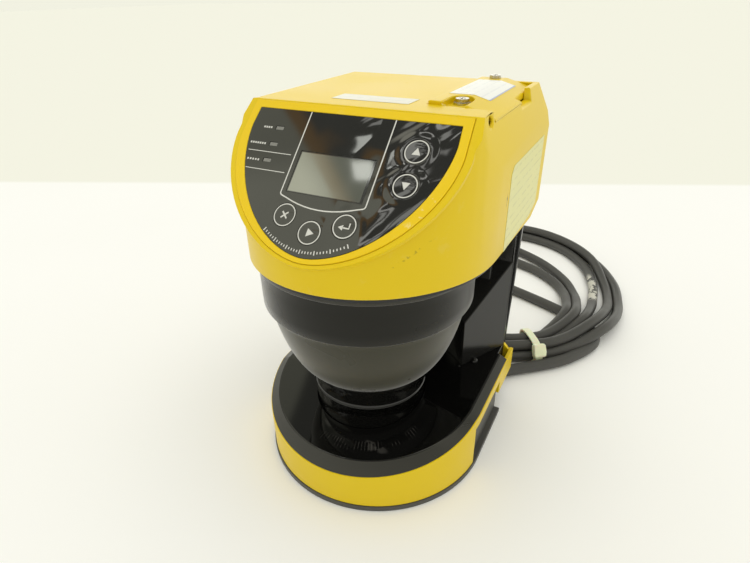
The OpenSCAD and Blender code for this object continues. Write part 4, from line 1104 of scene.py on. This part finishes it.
# More bright windows overhead, seen only in the folds of gloss surfaces: x, y, half sizes, brightness
PANES = ((-0.388, -0.345, 0.062, 0.060, 2.2),
         (-0.430, -0.215, 0.055, 0.020, 1.9),
         (-0.30, -0.19, 0.045, 0.022, 3.2),
         (-0.41, -0.43, 0.06, 0.018, 2.6),
         (-0.27, -0.33, 0.02, 0.05, 2.4))
for x, y, half_x, half_y, level in PANES:
    f = wmath("MULTIPLY", wramp(wmath("ABSOLUTE", wmath("SUBTRACT", X, x)), half_x, half_x * 0.7),
              wramp(wmath("ABSOLUTE", wmath("SUBTRACT", Y, y)), half_y, half_y * 0.7))
    room = wmix(wmath("MULTIPLY", f, wramp(Z, 0.5, 0.7)), room, (level, level, level * 0.92))
back_strip = wmath("MULTIPLY", wmath("MULTIPLY", wramp(Y, -0.13, -0.08), wramp(Y, 0.10, 0.05)), wramp(Z, 0.6, 0.75))
room = wmix(wmath("MULTIPLY", back_strip, 0.8), room, (2.0, 1.95, 1.6))
backdrop = wmath("MULTIPLY", wramp(Y, 0.35, 0.6), wmath("MULTIPLY", wramp(Z, 0.34, 0.24), wramp(Z, -0.02, 0.04)))
room = wmix(backdrop, room, (1.9, 1.9, 1.75))
even = wnode("ShaderNodeBackground")
front_share = wmath("ADD", wmath("MULTIPLY", X, 0.47), wmath("MULTIPLY", Y, -0.88))
wt.links.new(wmix(wramp(front_share, 0.0, 0.8), (1.0, 0.99, 0.95), (0.70, 0.69, 0.65)), even.inputs[0])
even.inputs[1].default_value = 0.86
gloss = wnode("ShaderNodeBackground")
wt.links.new(room, gloss.inputs[0])
gloss.inputs[1].default_value = 1.0
seen = wnode("ShaderNodeBackground")
seen.inputs[0].default_value = (0.887, 0.885, 0.758, 1)
path = wnode("ShaderNodeLightPath")
first = wnode("ShaderNodeMixShader")
wt.links.new(path.outputs["Is Glossy Ray"], first.inputs[0])
wt.links.new(even.outputs[0], first.inputs[1])
wt.links.new(gloss.outputs[0], first.inputs[2])
blend = wnode("ShaderNodeMixShader")
wt.links.new(path.outputs["Is Camera Ray"], blend.inputs[0])
wt.links.new(first.outputs[0], blend.inputs[1])
wt.links.new(seen.outputs[0], blend.inputs[2])
wout = wnode("ShaderNodeOutputWorld")
wt.links.new(blend.outputs[0], wout.inputs[0])

sun_data = bpy.data.lights.new("soft_light", "SUN")
sun_data.energy = 0.75
sun_data.angle = math.radians(70)
sun_data.color = (1.0, 0.985, 0.94)
sun = bpy.data.objects.new("soft_light", sun_data)
scene.collection.objects.link(sun)
sun.rotation_euler = Vector((-0.12, 0.10, -1.0)).to_track_quat("-Z", "Y").to_euler()
sun.visible_glossy = False
